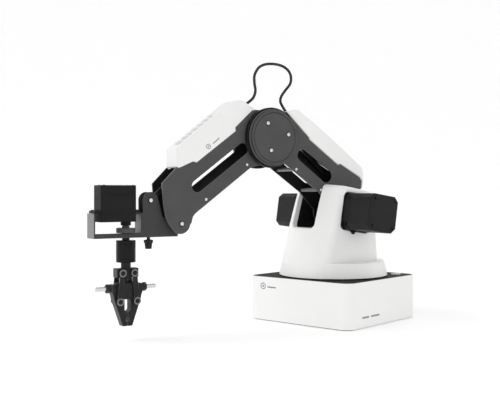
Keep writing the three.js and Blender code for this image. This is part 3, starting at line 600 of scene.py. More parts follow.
def make_cable():
    last = len(CABLE_ROUTE) - 1
    halves = (
        ("cable_loop_front", smooth_route(0, CABLE_TOP)[::-1], "elbow_cable_front", "forearm", (113, 272)),
        ("cable_loop_rear", smooth_route(CABLE_TOP, last), "elbow_cable_rear", "rear_arm", (78, 268)),
    )
    for name, route, node, body, low in halves:
        obj = placed(name, moved(tube_along(route, CABLE_RADIUS), Matrix.Scale(MM, 4) @ TURRET))
        obj.data.materials.append(CABLE)
        shade(obj, 60)
        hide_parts(node)
        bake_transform(obj)


make_cable()

# ---------- Base ----------
SIDE = 158
CORNER = 15
BASE_TOP = 55.8
PAD = 2
GAP = 0.3
PLATE_THICK = 2.4
LIP = BASE_TOP - PLATE_THICK - GAP
BUTTON = (57, 62)
PANEL_HALF = 55
PORT_H = 25
JACK_X = -46


def base_ring(inset, height, steps=12):
    side = SIDE - 2 * inset
    return [Vector((p.x, p.y, height)) for p in square(side, side, max(CORNER - inset, 1), steps)]


def make_base():
    foot = loft([base_ring(4.2, 0), base_ring(3.6, 0.6), base_ring(3.6, PAD)])
    piece("foot_pad", foot, WORLD, "base", RUBBER, ["base_foot_pad"])

    wall, bottom, top = 3, 1.1, BASE_TOP
    section = [(2.2, bottom), (0.5, bottom), (0.14, bottom + 0.15), (0, bottom + 0.5)]
    section += [(0, top - 1.0), (0.08, top - 0.6), (0.3, top - 0.22), (0.62, top - 0.04)]
    section += [(0.85, top), (1, top - 0.1), (1, LIP), (2 * wall, LIP)]
    section += [(2 * wall, LIP - wall), (wall, LIP - wall), (wall, bottom)]
    shell = loft([base_ring(inset, height) for inset, height in section], closed=True)
    window = box((-PANEL_HALF, PANEL_HALF), (70, 90), (12, 38), 0.01)
    piece("base_shell", boolean(shell, [window]), WORLD, "base", WHITE, ["base_housing"])

    side = SIDE - 2 * (1 + GAP)
    plate = slab(
        square(side, side, CORNER - 1 - GAP, 12), LIP + GAP, BASE_TOP,
        holes=[ring(25, steps=72), ring(6.4 + GAP, *BUTTON)], bevel=0.25, plan=True,
    )
    piece("base_lid", plate, WORLD, "base", [LID, BAR], ["base_top_plate"])

    collar = merged(
        tube(6.4, 4.95, LIP - 3, BASE_TOP + 0.4, "z", (*BUTTON, 0), 0.35),
        tube(8.4, 4.95, LIP - 5, LIP - GAP, "z", (*BUTTON, 0), 0.1),
    )
    piece("power_light", collar, WORLD, "base", LAMP, ["power_light_ring"])
    cap = lathe(
        [(0, LIP - 8), (6.2, LIP - 8, 0.3), (6.2, LIP - 5.4, 0.3), (4.6, LIP - 5.4), (4.6, BASE_TOP + 1, 0.5),
         (3.4, BASE_TOP + 1, 0.4), (0, BASE_TOP + 0.7)],
        48, "z", (*BUTTON, 0),
    )
    piece("power_cap", cap, WORLD, "power_button", PALE, ["power_button"])

    make_marks()
    make_back_panel()


def badge(x, z, radius):
    """A plain ring with a dot, in relief by a hair, on a face that looks along -y."""
    return merged(
        tube(radius, radius * 0.72, -0.06, 0.02, "y", (x, 0, z), 0.01),
        rod(radius * 0.34, -0.06, 0.02, "y", (x, 0, z), 0.01),
    )


def stripe(x, z, width, height):
    """A plain printed bar on the same face."""
    return slab(square(width, height, height * 0.45, 6, x, z), -0.06, 0.02, bevel=0.01, steps=1)


def make_marks():
    """A plain ring and plain bars where a maker would print on the housing."""
    front = merged(badge(-52.5, 44, 4.2), stripe(-38.5, 43.2, 14, 1.7))
    piece("mark_front", front, Matrix.Translation((0, -SIDE / 2, 0)), "base", PRINT)
    side = merged(stripe(-44, 13.3, 15, 2.2), stripe(-23, 13.3, 19, 2.2))
    turned = Matrix.Translation((SIDE / 2, 0, 0)) @ Matrix.Rotation(pi / 2, 4, "Z")
    piece("mark_side", side, turned, "base", PRINT)


def make_back_panel():
    """The socket panel sunk in the back of the base, with the shells and contacts of its sockets."""
    back = SIDE / 2
    ports = [(-28, 12, 11)] + [(x, 13, 6) for x in (-8, 10, 28, 45)]
    holes = [square(w, h, 0.9, 4, x, PORT_H) for x, w, h in ports] + [ring(4, JACK_X, PORT_H)]
    outline = square(2 * PANEL_HALF - 0.6, 25.4, 1.2, 4, 0, PORT_H)
    face = slab(outline, back - 3, back - 0.6, holes=holes)
    tub = box((-52, 52), (back - 14, back - 9.2), (14, 36), 0.3)
    piece("back_panel", merged(face, tub), WORLD, "base", BLACK, ["rear_socket_panel"])
    shells = []
    for x, w, h in ports:
        outline = square(w - 0.3, h - 0.3, 0.8, 4, x, PORT_H)
        hole = square(w - 1.3, h - 1.3, 0.5, 4, x, PORT_H)
        shells.append(slab(outline, back - 9.2, back - 0.4, holes=[hole], bevel=0.15, steps=1))
        width, height = (x - w * 0.3, x + w * 0.3), (PORT_H - h * 0.12, PORT_H + h * 0.08)
        shells.append(box(width, (back - 9.3, back - 3.2), height, 0.15))
    jack = (JACK_X, 0, PORT_H)
    shells.append(tube(3.9, 3.1, back - 9.2, back - 0.4, "y", jack, 0.15))
    shells.append(rod(0.9, back - 9.3, back - 2.6, "y", jack))
    piece("socket_shells", merged(*shells), WORLD, "base", STEEL)
    screws = [dome_head(2.1, 1.1, "y", (x, back - 0.7, z)) for x in (-52, 52) for z in (16, 34)]
    piece("panel_screws", merged(*screws), WORLD, "base", BLACK_METAL)


make_base()

# ---------- Turret ----------
SLOT_HALF = 22.5
SLOT_FLOOR = 118.5
PAINTED_SHADE_DEPTH = 7.5  # how deep the white walls of the slot go before they are painted black as painted shade
SKIRT_BOTTOM = 57.2
LEDGE = 76
WAIST = 119  # where the towers start to lean in
NOSE = 70  # radius of the round front in plan
FLANK = 48
FRONTS = (70, 54, 39, 37.6)  # how far the skin reaches at the skirt, the waist, the round edge and the top
REARS = (-38.5, -33, -28, -26)
SLOT_BACK = -30.5
MOTOR_PLACE = Matrix.Translation((0, 0, SHOULDER_H)) @ Matrix.Rotation(-radians(8.4), 4, "Y")
MOTOR_SIDE = 45
MOTOR_DEPTH = (44, 95.5)
MOTOR_SCREWS = [(x, z) for x in (-16.2, 16.2) for z in (-16.2, 16.2)]


def top_height(x):
    return 168.7 + tan(radians(9.2)) * x


def turret_ring(inset, front, rear, height_at, fine=10):
    """Plan section of the turret: a round front, flat sides and a flat back."""
    radius, side, corner = NOSE - inset, FLANK - inset, max(12 - inset, 4)
    shift = front - inset - radius
    corner_x = sqrt((radius - corner) ** 2 - (side - corner) ** 2)
    meet = atan2(side - corner, corner_x)
    half = []
    for i in range(fine + 1):
        turn = meet * i / fine
        half.append((shift + radius * cos(turn), radius * sin(turn)))
    for i in range(1, fine + 1):
        turn = meet + (pi / 2 - meet) * i / fine
        half.append((shift + corner_x + corner * cos(turn), side - corner + corner * sin(turn)))
    back = 6
    for i in range(fine // 2 + 1):
        turn = pi / 2 * (1 + i / (fine // 2))
        half.append((rear + inset + back + back * cos(turn), side - back + back * sin(turn)))
    whole = half + [(x, -y) for x, y in half[:0:-1]]
    return [Vector((x, y, height_at(x))) for x, y in whole]


def mixed(low, high, share):
    return low + (high - low) * share


def turret_body(wall, bottom, fine=10):
    """The turret's skin: straight tapering walls up to a sloping top with a round edge."""
    levels = [(FRONTS[0], REARS[0], bottom), (65, -36.8, mixed(SKIRT_BOTTOM, WAIST, 0.3))]
    levels += [(FRONTS[1], REARS[1], WAIST)]
    rings = [turret_ring(wall, front, rear, lambda x, h=height: h, fine) for front, rear, height in levels]
    radius = 6 if wall == 0 else 3
    for share in (0.35, 0.7):
        front, rear = mixed(*FRONTS[1:3], share), mixed(*REARS[1:3], share)
        rings.append(
            turret_ring(
                wall, front, rear, lambda x, s=share: mixed(WAIST, top_height(x) - wall - radius, s), fine
            )
        )
    for k in range(7):
        turn = pi / 2 * k / 6
        sunk, pulled = radius * (1 - sin(turn)), radius * (1 - cos(turn))
        front, rear = mixed(*FRONTS[2:], k / 6), mixed(*REARS[2:], k / 6)
        rings.append(turret_ring(wall + pulled, front, rear, lambda x, s=sunk: top_height(x) - wall - s, fine))
    return loft(rings)


def front_face(w, height):
    """How far forward the turret's skin is, at a width and a height."""
    if height > WAIST:
        share = min(1, (height - WAIST) / (top_height(FRONTS[2]) - WAIST))
        front = mixed(*FRONTS[1:3], share)
    else:
        front = mixed(*FRONTS[:2], (height - SKIRT_BOTTOM) / (WAIST - SKIRT_BOTTOM))
    return front - NOSE + sqrt(NOSE**2 - min(w * w, 60**2))


def slot_tool():
    """A U-shaped cutter along the reach, flared where it leaves the skin, so that it leaves round edges."""
    corner, lip = 5.5, 2.0
    section = [(SLOT_HALF, 190), (SLOT_HALF, 172), (SLOT_HALF, 150), (SLOT_HALF, 135)]
    section += [(p.x, p.y) for p in arc(SLOT_HALF - corner, SLOT_FLOOR + corner, corner, 0, -90, 8)]
    section = [Vector(p) for p in section]
    section += [Vector((-p.x, p.y)) for p in section[::-1]]
    outward = []
    for i, p in enumerate(section):
        if p.y > SLOT_FLOOR + corner - 0.01:
            outward.append(Vector((copysign(1, p.x), 0)))
        else:
            centre = Vector((copysign(SLOT_HALF - corner, p.x), SLOT_FLOOR + corner))
            outward.append((p - centre).normalized())
    rings = []
    stations = [("back", share) for share in (1.6, 1.0, 0.66, 0.33, 0.0, -1)]
    stations += [("front", share) for share in (-1, 0.0, 0.33, 0.66, 1.0, 1.6)]
    for end, share in stations:
        turn = pi / 2 * min(max(share, 0), 1)
        spread = lip * (1 - cos(turn)) + (lip if share > 1 else 0)
        along = lip * sin(turn) - lip + (30 if share > 1 else 0)
        if share < 0:
            along = -PAINTED_SHADE_DEPTH
        points = []
        for p, n in zip(section, outward):
            surface_x = front_face(p.x, p.y) if end == "front" else SLOT_BACK
            x = surface_x + along if end == "front" else surface_x - along
            q = p + n * spread
            points.append(Vector((x, q.x, q.y)))
        rings.append(points)
    return loft(rings)


def motor_window():
    """A flared square cutter through both towers for the motors."""
    sides = []
    for sign in (1, -1):
        rings = []
        for depth, spread in ((30, 0), (46.6, 0), (47.2, 0.25), (47.7, 0.75), (48, 1.5), (60, 3)):
            outline = square(47 + 2 * spread, 47 + 2 * spread, 6 + spread, 8)
            rings.append([Vector((p.x, sign * depth, p.y)) for p in outline])
        sides.append(moved(loft(rings), MOTOR_PLACE))
    return sides


def make_turret():
    skirt = lathe(
        [(0, SKIRT_BOTTOM), (NOSE, SKIRT_BOTTOM, 0.6), (66, LEDGE - 1.2, 1.6), (64.2, LEDGE, 0.8),
         (0, LEDGE)],
        128,
    )
    body = boolean(turret_body(0, SKIRT_BOTTOM), [skirt], "UNION")
    cavity = boolean(
        turret_body(3, SKIRT_BOTTOM - 1, 6), [box((-90, 90), (-25.5, 25.5), (SLOT_FLOOR - 4, 220), 0.01)]
    )
    tools = [
        cavity,
        slot_tool(),
        lathe([(0, 40), (57.5, 40), (57.5, 62.2), (0, 62.2)], 72),
        box((-30, -10), (3.4, 10.6), (SLOT_FLOOR - 6, SLOT_FLOOR + 1), 0.01),
        *motor_window(),
        rod(16, -40, 40, "y", (0, 0, SHOULDER_H)),
    ]
    shell = boolean(painted(body), tools)
    # Painted shade: the slot's walls and floor deep inside take black, for the shade in the recess.
    for face in shell.faces:
        spot = face.calc_center_median()
        inside = abs(spot.y) < SLOT_HALF + 0.1 and spot.z > SLOT_FLOOR - 0.1
        deep = SLOT_BACK + PAINTED_SHADE_DEPTH < spot.x < front_face(spot.y, spot.z) - PAINTED_SHADE_DEPTH + 0.5
        face.material_index = 1 if inside and deep and abs(face.normal.x) < 0.5 else 0
    piece("turret_cowl", shell, TURRET, "turret", [WHITE, BLACK], ["turret_shell"], sharp=32)
    mirrored(make_motor)


def make_motor(side, sign, span):
    job = "shoulder" if side == "left" else "elbow"
    tilt = TURRET @ MOTOR_PLACE

    def octagon(size, cut, radius=0.8):
        half, inner = size / 2, size / 2 - cut
        corners = [(inner, -half), (half, -inner), (half, inner), (inner, half)]
        corners += [(-inner, half), (-half, inner), (-half, -inner), (-inner, -half)]
        return rounded([(*c, radius) for c in corners], 3)

    outer = slab(octagon(MOTOR_SIDE, 6), *span(*MOTOR_DEPTH), bevel=1.1, steps=4)
    groove = slab(octagon(60, 6), *span(58.2, 58.8), holes=[octagon(44.2, 6)], bevel=0)
    hollow = slab(octagon(42, 5), *span(43, 93.5), bevel=0.1, steps=1)
    slots = [
        box((x0, x1), span(y, y + 3.4), (z0, z1), 0.5)
        for y in (48.2, 53.4)
        for x0, x1, z0, z1 in ((19.6, 26, 13.5, 19.5), (19.6, 26, -19.5, -13.5))
    ]
    holes = [rod(1.9, *span(94.2, 99), "y", (x, 0, z)) for x, z in MOTOR_SCREWS]
    shell = boolean(outer, [hollow, groove, *slots, *holes])
    cover = [job + "_motor_cover"]
    piece(job + "_motor_case", shell, tilt, "turret", MOTOR, cover, sharp=35)
    clip = merged(
        box((3.3, 11.3), span(47, 49.6), (113, 115), 0.4), box((5, 9.6), span(47, 49.4), (111, 113.2), 0.4)
    )
    piece(job + "_clip", clip, TURRET, "turret", BLACK)
    screws = [dome_head(1.55, 0.8, "y", (x, sign * 94.15, z), flip=sign < 0) for x, z in MOTOR_SCREWS]
    piece(job + "_motor_screws", merged(*screws), tilt, "turret", BLACK_METAL)


make_turret()

# ---------- Rear arm ----------
SHEET = 2
REAR_HALF = 21
ELBOW_DISC = 32.6
# The elbow hub is real, but it is drawn this wide and black so that its rim gives the dark crescent beside the
# disc: partly painted shadow.
ELBOW_HUB_AND_SHADOW = 36.5
FORE_HALF = 13.2
REAR_SPACERS = ((46.5, -1.8), (92.2, -7.2))
FORE_SPACERS = ((46.8, -3.8), (116.5, 0.8))
# Reach and height in the turret's frame.
ELBOW_SCREWS = ((118.7, 246.0), (88.6, 233.5), (114.0, 213.5))


def rear_outline():
    points = [(-2.4, 42.9), (-9, 12)]
    points = [Vector(p) for p in points] + arc(0, 0, 17, 122, 330, 48)
    points += [Vector((46.8, -5.8)), Vector((108.5, -13.2))] + arc(REAR_LENGTH, 0, 34.5, -157, 96, 72)
    tail = [(102.8, 35.7), (100.6, 34.3), (45.8, 40.2), (43.3, 43.7), (8.6, 51.9), (2.7, 50.8)]
    return points + [Vector(p) for p in tail]


REAR_COVER = [
    (-3.3, 43.1), (2.3, 51.4), (8.6, 52.5), (43.6, 44.2), (46.2, 40.7), (100.4, 34.8), (102.8, 36.2),
    (116.5, 36.6), (147.6, 37.2, 2), (138.5, 50.8, 3), (93.2, 57.8, 30), (13.2, 64.9, 3), (2.2, 56.4, 3),
    (-4.6, 44),
]
REAR_HOLLOW = [
    (-8, 36), (160, 30), (150, 36), (137.2, 49, 5), (93, 56, 30), (13.6, 63, 7), (4.8, 55, 4), (-4, 40),
]


def make_plate(arm, side, sign, outline, half, slot, bores, spacers, place, body):
    """A slotted side plate whose inner face and slot walls are painted black, as painted shade between the
    plates.
    """
    holes = [lever(*slot), *bores, *[ring(1.7, *at) for at in spacers]]
    plate = slab(outline, *side_span(sign)(half - SHEET, half), holes=holes, bevel=0.35)
    start, wide, end, _ = slot
    along = end - start
    for face in plate.faces:
        middle = face.calc_center_median()
        spot = Vector((middle.x, middle.z)) - start
        share = min(max(spot.dot(along) / along.length_squared, 0), 1)
        in_shaded_slot = (spot - along * share).length < wide + 0.4 and abs(face.normal.y) < 0.9
        # Painted shade: the inward faces and the slot walls take black.
        if face.normal.y * sign < -0.9 or in_shaded_slot:
            face.material_index = 2
    piece(f"{arm}_sheet_{side}", plate, place, body, [METAL, METAL_EDGE, BLACK], [f"{arm}_plate_{side}"])


def make_standoffs(arm, half, radius, spacers, place, body):
    """The bars between two plates, each with its screws."""
    inner = half - SHEET - GAP
    for i, (x, z) in enumerate(spacers, 1):
        bar = merged(
            painted(rod(radius, -inner, inner, "y", (x, 0, z)), 1),
            painted(rod(1.5, -half - 0.3, half + 0.3, "y", (x, 0, z)), 1),
            *[painted(head) for head in both_heads(1.9, 1.2, x, half + 0.05, z)],
        )
        piece(f"{arm}_standoff_{i}", bar, place, body, [STEEL, BAR], [f"{arm}_spacer_{i}"])


def make_rear_arm():
    inner = REAR_HALF - SHEET
    outline = rear_outline()

    def plates(side, sign, span):
        slot = (Vector((51.5, 17.4)), 8.6, Vector((96, 12)), 7.4)
        bores = [ring(5.35 if sign > 0 else 8.5), ring(6.35, REAR_LENGTH)]
        make_plate("rear", side, sign, outline, REAR_HALF, slot, bores, REAR_SPACERS, REAR, "rear_arm")

        seat, rim = REAR_HALF + GAP, REAR_HALF + 2.5
        disc = lathe(
            [(0, seat), (ELBOW_DISC, seat, 0.2), (ELBOW_DISC, rim, 0.5), (30.1, rim, 0.05),
             (29.8, rim - 0.3, 0.05), (29.5, rim, 0.05), (0, rim)],
            128, "y",
        )
        if sign < 0:
            disc = moved(disc, Matrix.Scale(-1, 4, (0, 1, 0)))
        disc = moved(disc, Matrix.Translation((REAR_LENGTH, 0, 0)))
        # Painted shade: the faces of the shallow groove take black, darkening the groove.
        for face in disc.faces:
            spot = face.calc_center_median()
            in_groove = 29.45 < hypot(spot.x - REAR_LENGTH, spot.z) < 30.15
            face.material_index = 1 if in_groove else 0
        piece("elbow_disc_" + side, disc, REAR, "rear_arm", [METAL, BLACK], ["elbow_cap_" + side])
        top = REAR_HALF + 2.4
        screws = []
        for x, z in ELBOW_SCREWS:
            spot = REAR.inverted() @ TURRET @ Vector((x, 0, z))
            screws.append(painted(dome_head(2.5, 1.7, "y", (spot.x, sign * top, spot.z), flip=sign < 0)))
            # Painted shade: a thin black ring round each head stands for the shade in its counterbore.
            screws.append(painted(tube(3.2, 2.4, *span(top, top + 0.25), "y", (spot.x, 0, spot.z), 0.05), 1))
        piece("elbow_disc_screws_" + side, merged(*screws), REAR, "rear_arm", [STEEL, BLACK])

    mirrored(plates)

    cover = slab(rounded(REAR_COVER), -REAR_HALF, REAR_HALF, bevel=1.2, steps=4)
    tools = [
        slab(rounded(REAR_HOLLOW), -inner - 0.2, inner + 0.2, bevel=1.0, steps=3),
        box((130, 152), (-2.3, 2.3), (43, 51.5), 0.01),
    ]
    piece("rear_cover", boolean(cover, tools), REAR, "rear_arm", COVER, ["rear_arm_cover"], sharp=32)

    make_standoffs("rear", REAR_HALF, 2.3, REAR_SPACERS, REAR, "rear_arm")


make_rear_arm()


# ---------- Forearm ----------
def fore_outline():
    points = [Vector((31.2, 39.4)), Vector((-4.7, 39.7))] + arc(0, 0, 31, 100, 318, 72)
    points += [Vector(p) for p in ((44.4, -10), (138.2, -2.6), (142.5, -3.5), (148, -7.5))]
    points += arc(FORE_LENGTH + 0.5, 1.5, 12.5, 230, 375, 40)
    tail = [
        (171.3, 10.5), (168.1, 20.6), (163.7, 28.8), (148.4, 50.9), (122.2, 53.2), (120.8, 49.8),
        (101.7, 44.1), (98.8, 40.3), (33.4, 35.7),
    ]
    return points + [Vector(p) for p in tail]


FORE_COVER = [
    (-4.6, 41.2, 1), (31.4, 40), (33.6, 36.3), (98.6, 40.9), (101.4, 44.7), (120.4, 50.4), (121.9, 53.5, 0.8),
    (108.5, 69.2, 1.2), (13.3, 65.8, 5), (3, 59.6, 3),
]
FORE_HOLLOW = [
    (-12, 30), (140, 30), (119.2, 52.6), (107.7, 67.5, 0.6), (13.8, 64.1, 4), (6, 59.4, 3), (-8, 46),
]


# The top of the forearm's cover, and the place of the mark on its side.
TOP_LEAN = atan2(69.2 - 65.8, 108.5 - 13.3)
FORE_TOP = FORE @ Matrix.Translation((0, 0, 65.3)) @ Matrix.Rotation(-TOP_LEAN, 4, "Y")
FORE_MARK = FORE @ Matrix.Translation((74.8, FORE_HALF, 45.5)) @ Matrix.Scale(-1, 4, (0, 1, 0))


def make_forearm():
    inner = FORE_HALF - SHEET
    outline = fore_outline()

    def plates(side, sign, span):
        wide = 7.1 if sign > 0 else 5.6
        lift = 7.1 - wide
        slot = (Vector((39.5, 14.1 + lift)), wide, Vector((115.5, 19.7 + lift)), wide)
        bores = [ring(5.35), ring(2.95, FORE_LENGTH)]
        make_plate("forearm", side, sign, outline, FORE_HALF, slot, bores, FORE_SPACERS, FORE, "forearm")
        # Partly painted shadow: the black hub's wide rim stands for the shadow crescent at the elbow.
        hub = tube(ELBOW_HUB_AND_SHADOW, 5.5, *span(FORE_HALF + GAP, REAR_HALF - SHEET - GAP), "y", (0, 0, 0), 0.6, 96)
        piece("elbow_collar_" + side, hub, FORE, "forearm", BLACK, ["elbow_hub_" + side])

    mirrored(plates)

    cover = slab(rounded(FORE_COVER), -FORE_HALF, FORE_HALF, bevel=0.7, steps=3)
    tools = [slab(rounded(FORE_HOLLOW), -inner - 0.2, inner + 0.2, bevel=0.8, steps=3)]
    piece("forearm_shell", boolean(cover, tools), FORE, "forearm", COVER, ["forearm_cover"], sharp=32)

    piece("mark_forearm", merged(badge(0, 0, 3.1), stripe(-12.5, -1.3, 11, 1.3)), FORE_MARK, "forearm", PRINT)
    tops = [painted(slab(square(86, 15, 2.5, 6, 58, 0), -0.3, 0.12, bevel=0.1, steps=1, plan=True), 0)]
    for x, long, wide in ((97, 6, 9), (87, 5, 8), (79, 4, 8), (70.3, 5, 8), (61, 4, 8), (52, 5, 8), (44, 3, 8)):
        tops.append(painted(box((x - long / 2, x + long / 2), (-wide / 2, wide / 2), (0, 0.9), 0.25), 1))
    piece("cover_sockets", merged(*tops), FORE_TOP, "forearm", [TRIM, PALE])

    make_standoffs("forearm", FORE_HALF, 2.2, FORE_SPACERS, FORE, "forearm")
    piece("wrist_pin", pin(2.6, 0.2, FORE_HALF, FORE_LENGTH, 0), FORE, "forearm", STEEL, ["wrist_shaft"])
    piece("wrist_shadow_rings", shadow_rings(FORE_HALF, FORE_LENGTH, 0), FORE, "forearm", RUBBER)


make_forearm()


# ---------- Wrist bracket, servo and thumb screw ----------
BRACKET_HALF = 6.5
BRACKET_SHEET = 1.5
BRACKET_BOTTOM = 112.9
BRACKET_FRONT = 332.2
BRACKET_POST = 277.3
RAIL = 4.6
FAR_SIDE = -13  # the upright sheets reach further on the far side than the cheeks
HEEL_SIDE = -9.7  # the one near the forearm stays between the forearm's plates
SHELF = 140
SERVO_SCREWS = [(x, y) for x in (280.9, 329.4) for y in (-5, 5)]
THUMB_X = 265.1
EAR = (WRIST_X + 35.4, WRIST_H + 26.7)


def make_wrist():
    half, sheet, bottom, front = BRACKET_HALF, BRACKET_SHEET, BRACKET_BOTTOM, BRACKET_FRONT
    ear_edge, heel, rail = 274, 231.5, bottom + RAIL
    cheek = [Vector(p) for p in ((heel, bottom), (front, bottom), (front, rail), (ear_edge, rail))]
    cheek += arc(*EAR, 9.3, 0, 150, 30) + [Vector((254.5, 150)), Vector((250, 134))]
    cheek += arc(WRIST_X, WRIST_H, 9.3, 60, 235, 24) + [Vector((heel, bottom + 2))]
    cuts = [ring(2.95, WRIST_X, WRIST_H), ring(2.35, *EAR)]
    parts = [
        slab(cheek, half - sheet, half, holes=cuts, bevel=0),
        slab(cheek, -half, -half + sheet, holes=cuts, bevel=0),
        block((WRIST_X + 12, front), (-half, half), (bottom, bottom + sheet)),
        block((front - sheet, front), (FAR_SIDE, half), (bottom, SHELF)),
        block((BRACKET_POST - sheet, BRACKET_POST), (HEEL_SIDE, half), (bottom + sheet - 0.2, SHELF)),
        block((ear_edge - 2, BRACKET_POST), (half - sheet, half), (rail - 0.2, SHELF)),
        block((front - 8, front), (FAR_SIDE, half), (SHELF - sheet, SHELF)),
        block((BRACKET_POST - 4, BRACKET_POST + 5), (HEEL_SIDE, half), (SHELF - sheet, SHELF)),
    ]
    whole = boolean(painted(parts[0]), [painted(part) for part in parts[1:]], "UNION")
    holes = [rod(4.6, 100, 125, "z", (TOOL_X, 0, 0)), rod(2.25, 100, 120, "z", (THUMB_X, 0, 0))]
    whole = softened(boolean(whole, holes), 0.3)
    # Painted light: the posts' faces that look along +x take the lighter standoff metal, as on their lit side.
    for face in whole.faces:
        if face.normal.x > 0.95 and face.calc_center_median().x > BRACKET_POST - 0.5:
            face.material_index = 2
    piece("wrist_frame", whole, TURRET, "wrist", [BRACKET, METAL_EDGE, BAR], ["wrist_bracket"], sharp=35)

    piece("rod_bolt", pin(2, 0.3, half, *EAR), TURRET, "wrist", STEEL, ["levelling_rod_bolt"])
    piece("rod_bolt_shadow_rings", shadow_rings(half, *EAR), TURRET, "wrist", RUBBER)
    make_servo()

    def lobes(turn, p):
        return 1 + (0.05 * cos(turn * 12) if p.y < 109 else 0)

    knob = lathe(
        [(0, 99.6), (3.4, 99.6, 0.5), (3.9, 104.5), (4.3, 106.4, 0.3), (5.1, 107.2, 0.4), (5.2, 109.6, 0.5),
         (3.0, 109.8, 0.2), (1.9, 110.4, 0.2), (1.9, 118), (0, 118)],
        72, "z", (THUMB_X, 0, 0), lobes,
    )
    piece("thumb_knob", knob, TURRET, "thumb_screw", BLACK_METAL, ["thumb_screw"])


def block(x, y, z):
    """A plain block, for joining to others before its edges are rounded."""
    bm = bmesh.new()
    bmesh.ops.create_cube(bm, size=1)
    place = Matrix.Translation((sum(x) / 2, sum(y) / 2, sum(z) / 2))
    scale = Matrix.Diagonal((x[1] - x[0], y[1] - y[0], z[1] - z[0], 1))
    return moved(bm, place @ scale)


def make_servo():
    x, y = (284.2, 325.6), (-10.6, 9.6)
    core = [(side[0] + 0.2, side[1] - 0.2) for side in (x, y)]
    parts = [
        box(x, y, (130.6, 139.9), 0.5, 3, 1.0),
        box(x, y, (140.05, 159.3), 0.1, 1, 1.0),
        box(x, y, (159.45, 170.7), 0.5, 3, 1.0),
        box(*core, (139, 160), 0.1),
        rod(5.6, 126.4, 131, "z", (TOOL_X, 0, 0), 0.4), rod(2.9, 122, 127, "z", (TOOL_X, 0, 0), 0.2),
    ]
    ears = slab(
        square(53.8, 17.2, 1.2, 5, 305.3, 0), SHELF + GAP, SHELF + 2.8, bevel=0.4, plan=True,
        holes=[ring(1.6, *at, 24) for at in SERVO_SCREWS],
    )
    piece("servo_case", merged(*[painted(p) for p in (*parts, ears)]), TURRET, "wrist", BLACK, ["servo"])
    screws = [dome_head(2.3, 1.3, "z", (*at, SHELF + 2.75)) for at in SERVO_SCREWS]
    screws += [dome_head(1.3, 0.7, "z", (cx, cy, 170.5)) for cx in (287, 320.7) for cy in (-6.8, 6.8)]
    piece("servo_screws", merged(*screws), TURRET, "wrist", BLACK_METAL)


make_wrist()


# ---------- Gripper ----------
CROSSHEAD = (69.6, 79.6)
GRIP_BLOCK = (45.6, 64)
GUIDE_H = 57.8
JAW_PIVOT = (10, 43.4)
LINK_TOP = (7, 74.5)
SCREW_SEAT = 8.75
PIN_HALF = 8.9
RING = (4.1, 1.9)  # radii outside and inside
BARREL_BOTTOM = 86
BARREL_TOP = 110.2
HORN_BOTTOM = 118.3
JAW = [
    (13, 62.5, 2), (18.5, 62.5, 2), (18.5, 54, 2), (16.8, 50), (16, 46, 4), (5.7, 16, 0.8), (0.4, 16, 0.3),
    (0.4, 20.4), (1.9, 21.6), (1.9, 24.4), (0.4, 25.6), (0.4, 31, 1), (3.4, 34), (3.4, 44.9), (13, 44.9),
]


def painted_light_end(bm):
    """A block whose end face towards +x takes the second material, a lighter one, as painted light."""
    for face in bm.faces:
        face.material_index = 1 if face.normal.x > 0.6 and face.calc_center_median().x > 0 else 0
    return bm


def make_gripper():
    horn = lathe(
        [(0, HORN_BOTTOM), (10.6, HORN_BOTTOM, 0.4), (10.6, 123.6, 0.4), (4.2, 123.6, 0.2), (4.2, 126, 0.3),
         (0, 126)],
        64,
    )
    turns = (0.8, 2.37, 3.94, 5.5)
    screws = [dome_head(1.4, 0.6, "z", (7.4 * cos(t), 7.4 * sin(t), 123.5)) for t in turns]
    piece("servo_disc", merged(horn, *screws), TOOL, "tool", METAL, ["servo_horn"])

    low, high, radius, groove = BARREL_BOTTOM, BARREL_TOP, 10.8, 10.55
    barrel = lathe(
        [(5.9, low), (radius, low, 0.7), (radius, low + 3.4), (groove, low + 3.5), (groove, low + 3.9),
         (radius, low + 4.0), (radius, high - 4.0), (groove, high - 3.9), (groove, high - 3.5),
         (radius, high - 3.4), (radius, high, 0.7), (4.2, high, 0.2), (4.2, HORN_BOTTOM, 0.3),
         (0, HORN_BOTTOM), (0, low + 12.2), (5.9, low + 12)],
        96,
    )
    piece("cylinder_barrel", barrel, TOOL, "tool", CYLINDER, ["air_cylinder"])
    fitting = merged(
        rod(2.6, -3.4, 3.4, "y", (0, -13.4, 101), 0.5), rod(3.3, -1.6, 1.6, "y", (0, -12.2, 101), 0.3),
    )
    piece("air_fitting", fitting, TOOL, "tool", BLACK_METAL)
    post = rod(2.4, GRIP_BLOCK[1] + GAP, low + 15.5, "z")
    piece("post", post, TOOL, "tool", BLACK_METAL, ["centre_post"])

    bottom, top = CROSSHEAD
    head = boolean(box((-13, 13), (-6, 6), (bottom, top), 0.8, 3, 1.6), [rod(2.75, 60, 100, "z")])
    stem = tube(5.45, 2.75, top - 1, low + 7, "z", (0, 0, 0), 0.4)
    pins = [rod(1.7, -PIN_HALF, PIN_HALF, "y", (sign * LINK_TOP[0], 0, LINK_TOP[1])) for sign in (-1, 1)]
    whole = merged(painted_light_end(head), stem, *pins)
    piece("crosshead", whole, TOOL, "crosshead", [BLACK_METAL, METAL], ["gripper_crosshead"])

    bore = rod(2.9, -20, 20, "x", (0, 0, GUIDE_H))
    body = boolean(box((-12.5, 12.5), (-6, 6), GRIP_BLOCK, 0.7, 3, 1.2), [bore])
    piece("grip_block", painted(body), TOOL, "tool", BLACK_METAL, ["gripper_block"])
    guide = rod(2.55, -35.7, 35.7, "x", (0, 0, GUIDE_H), 0.5)
    piece("guide_bar", guide, TOOL, "tool", STEEL, ["guide_rod"])

    for end, sign in (("front", 1), ("back", -1)):
        for side, flip in (("left", 1), ("right", -1)):
            make_link(end, sign, side, flip)
        make_jaw(end, sign)


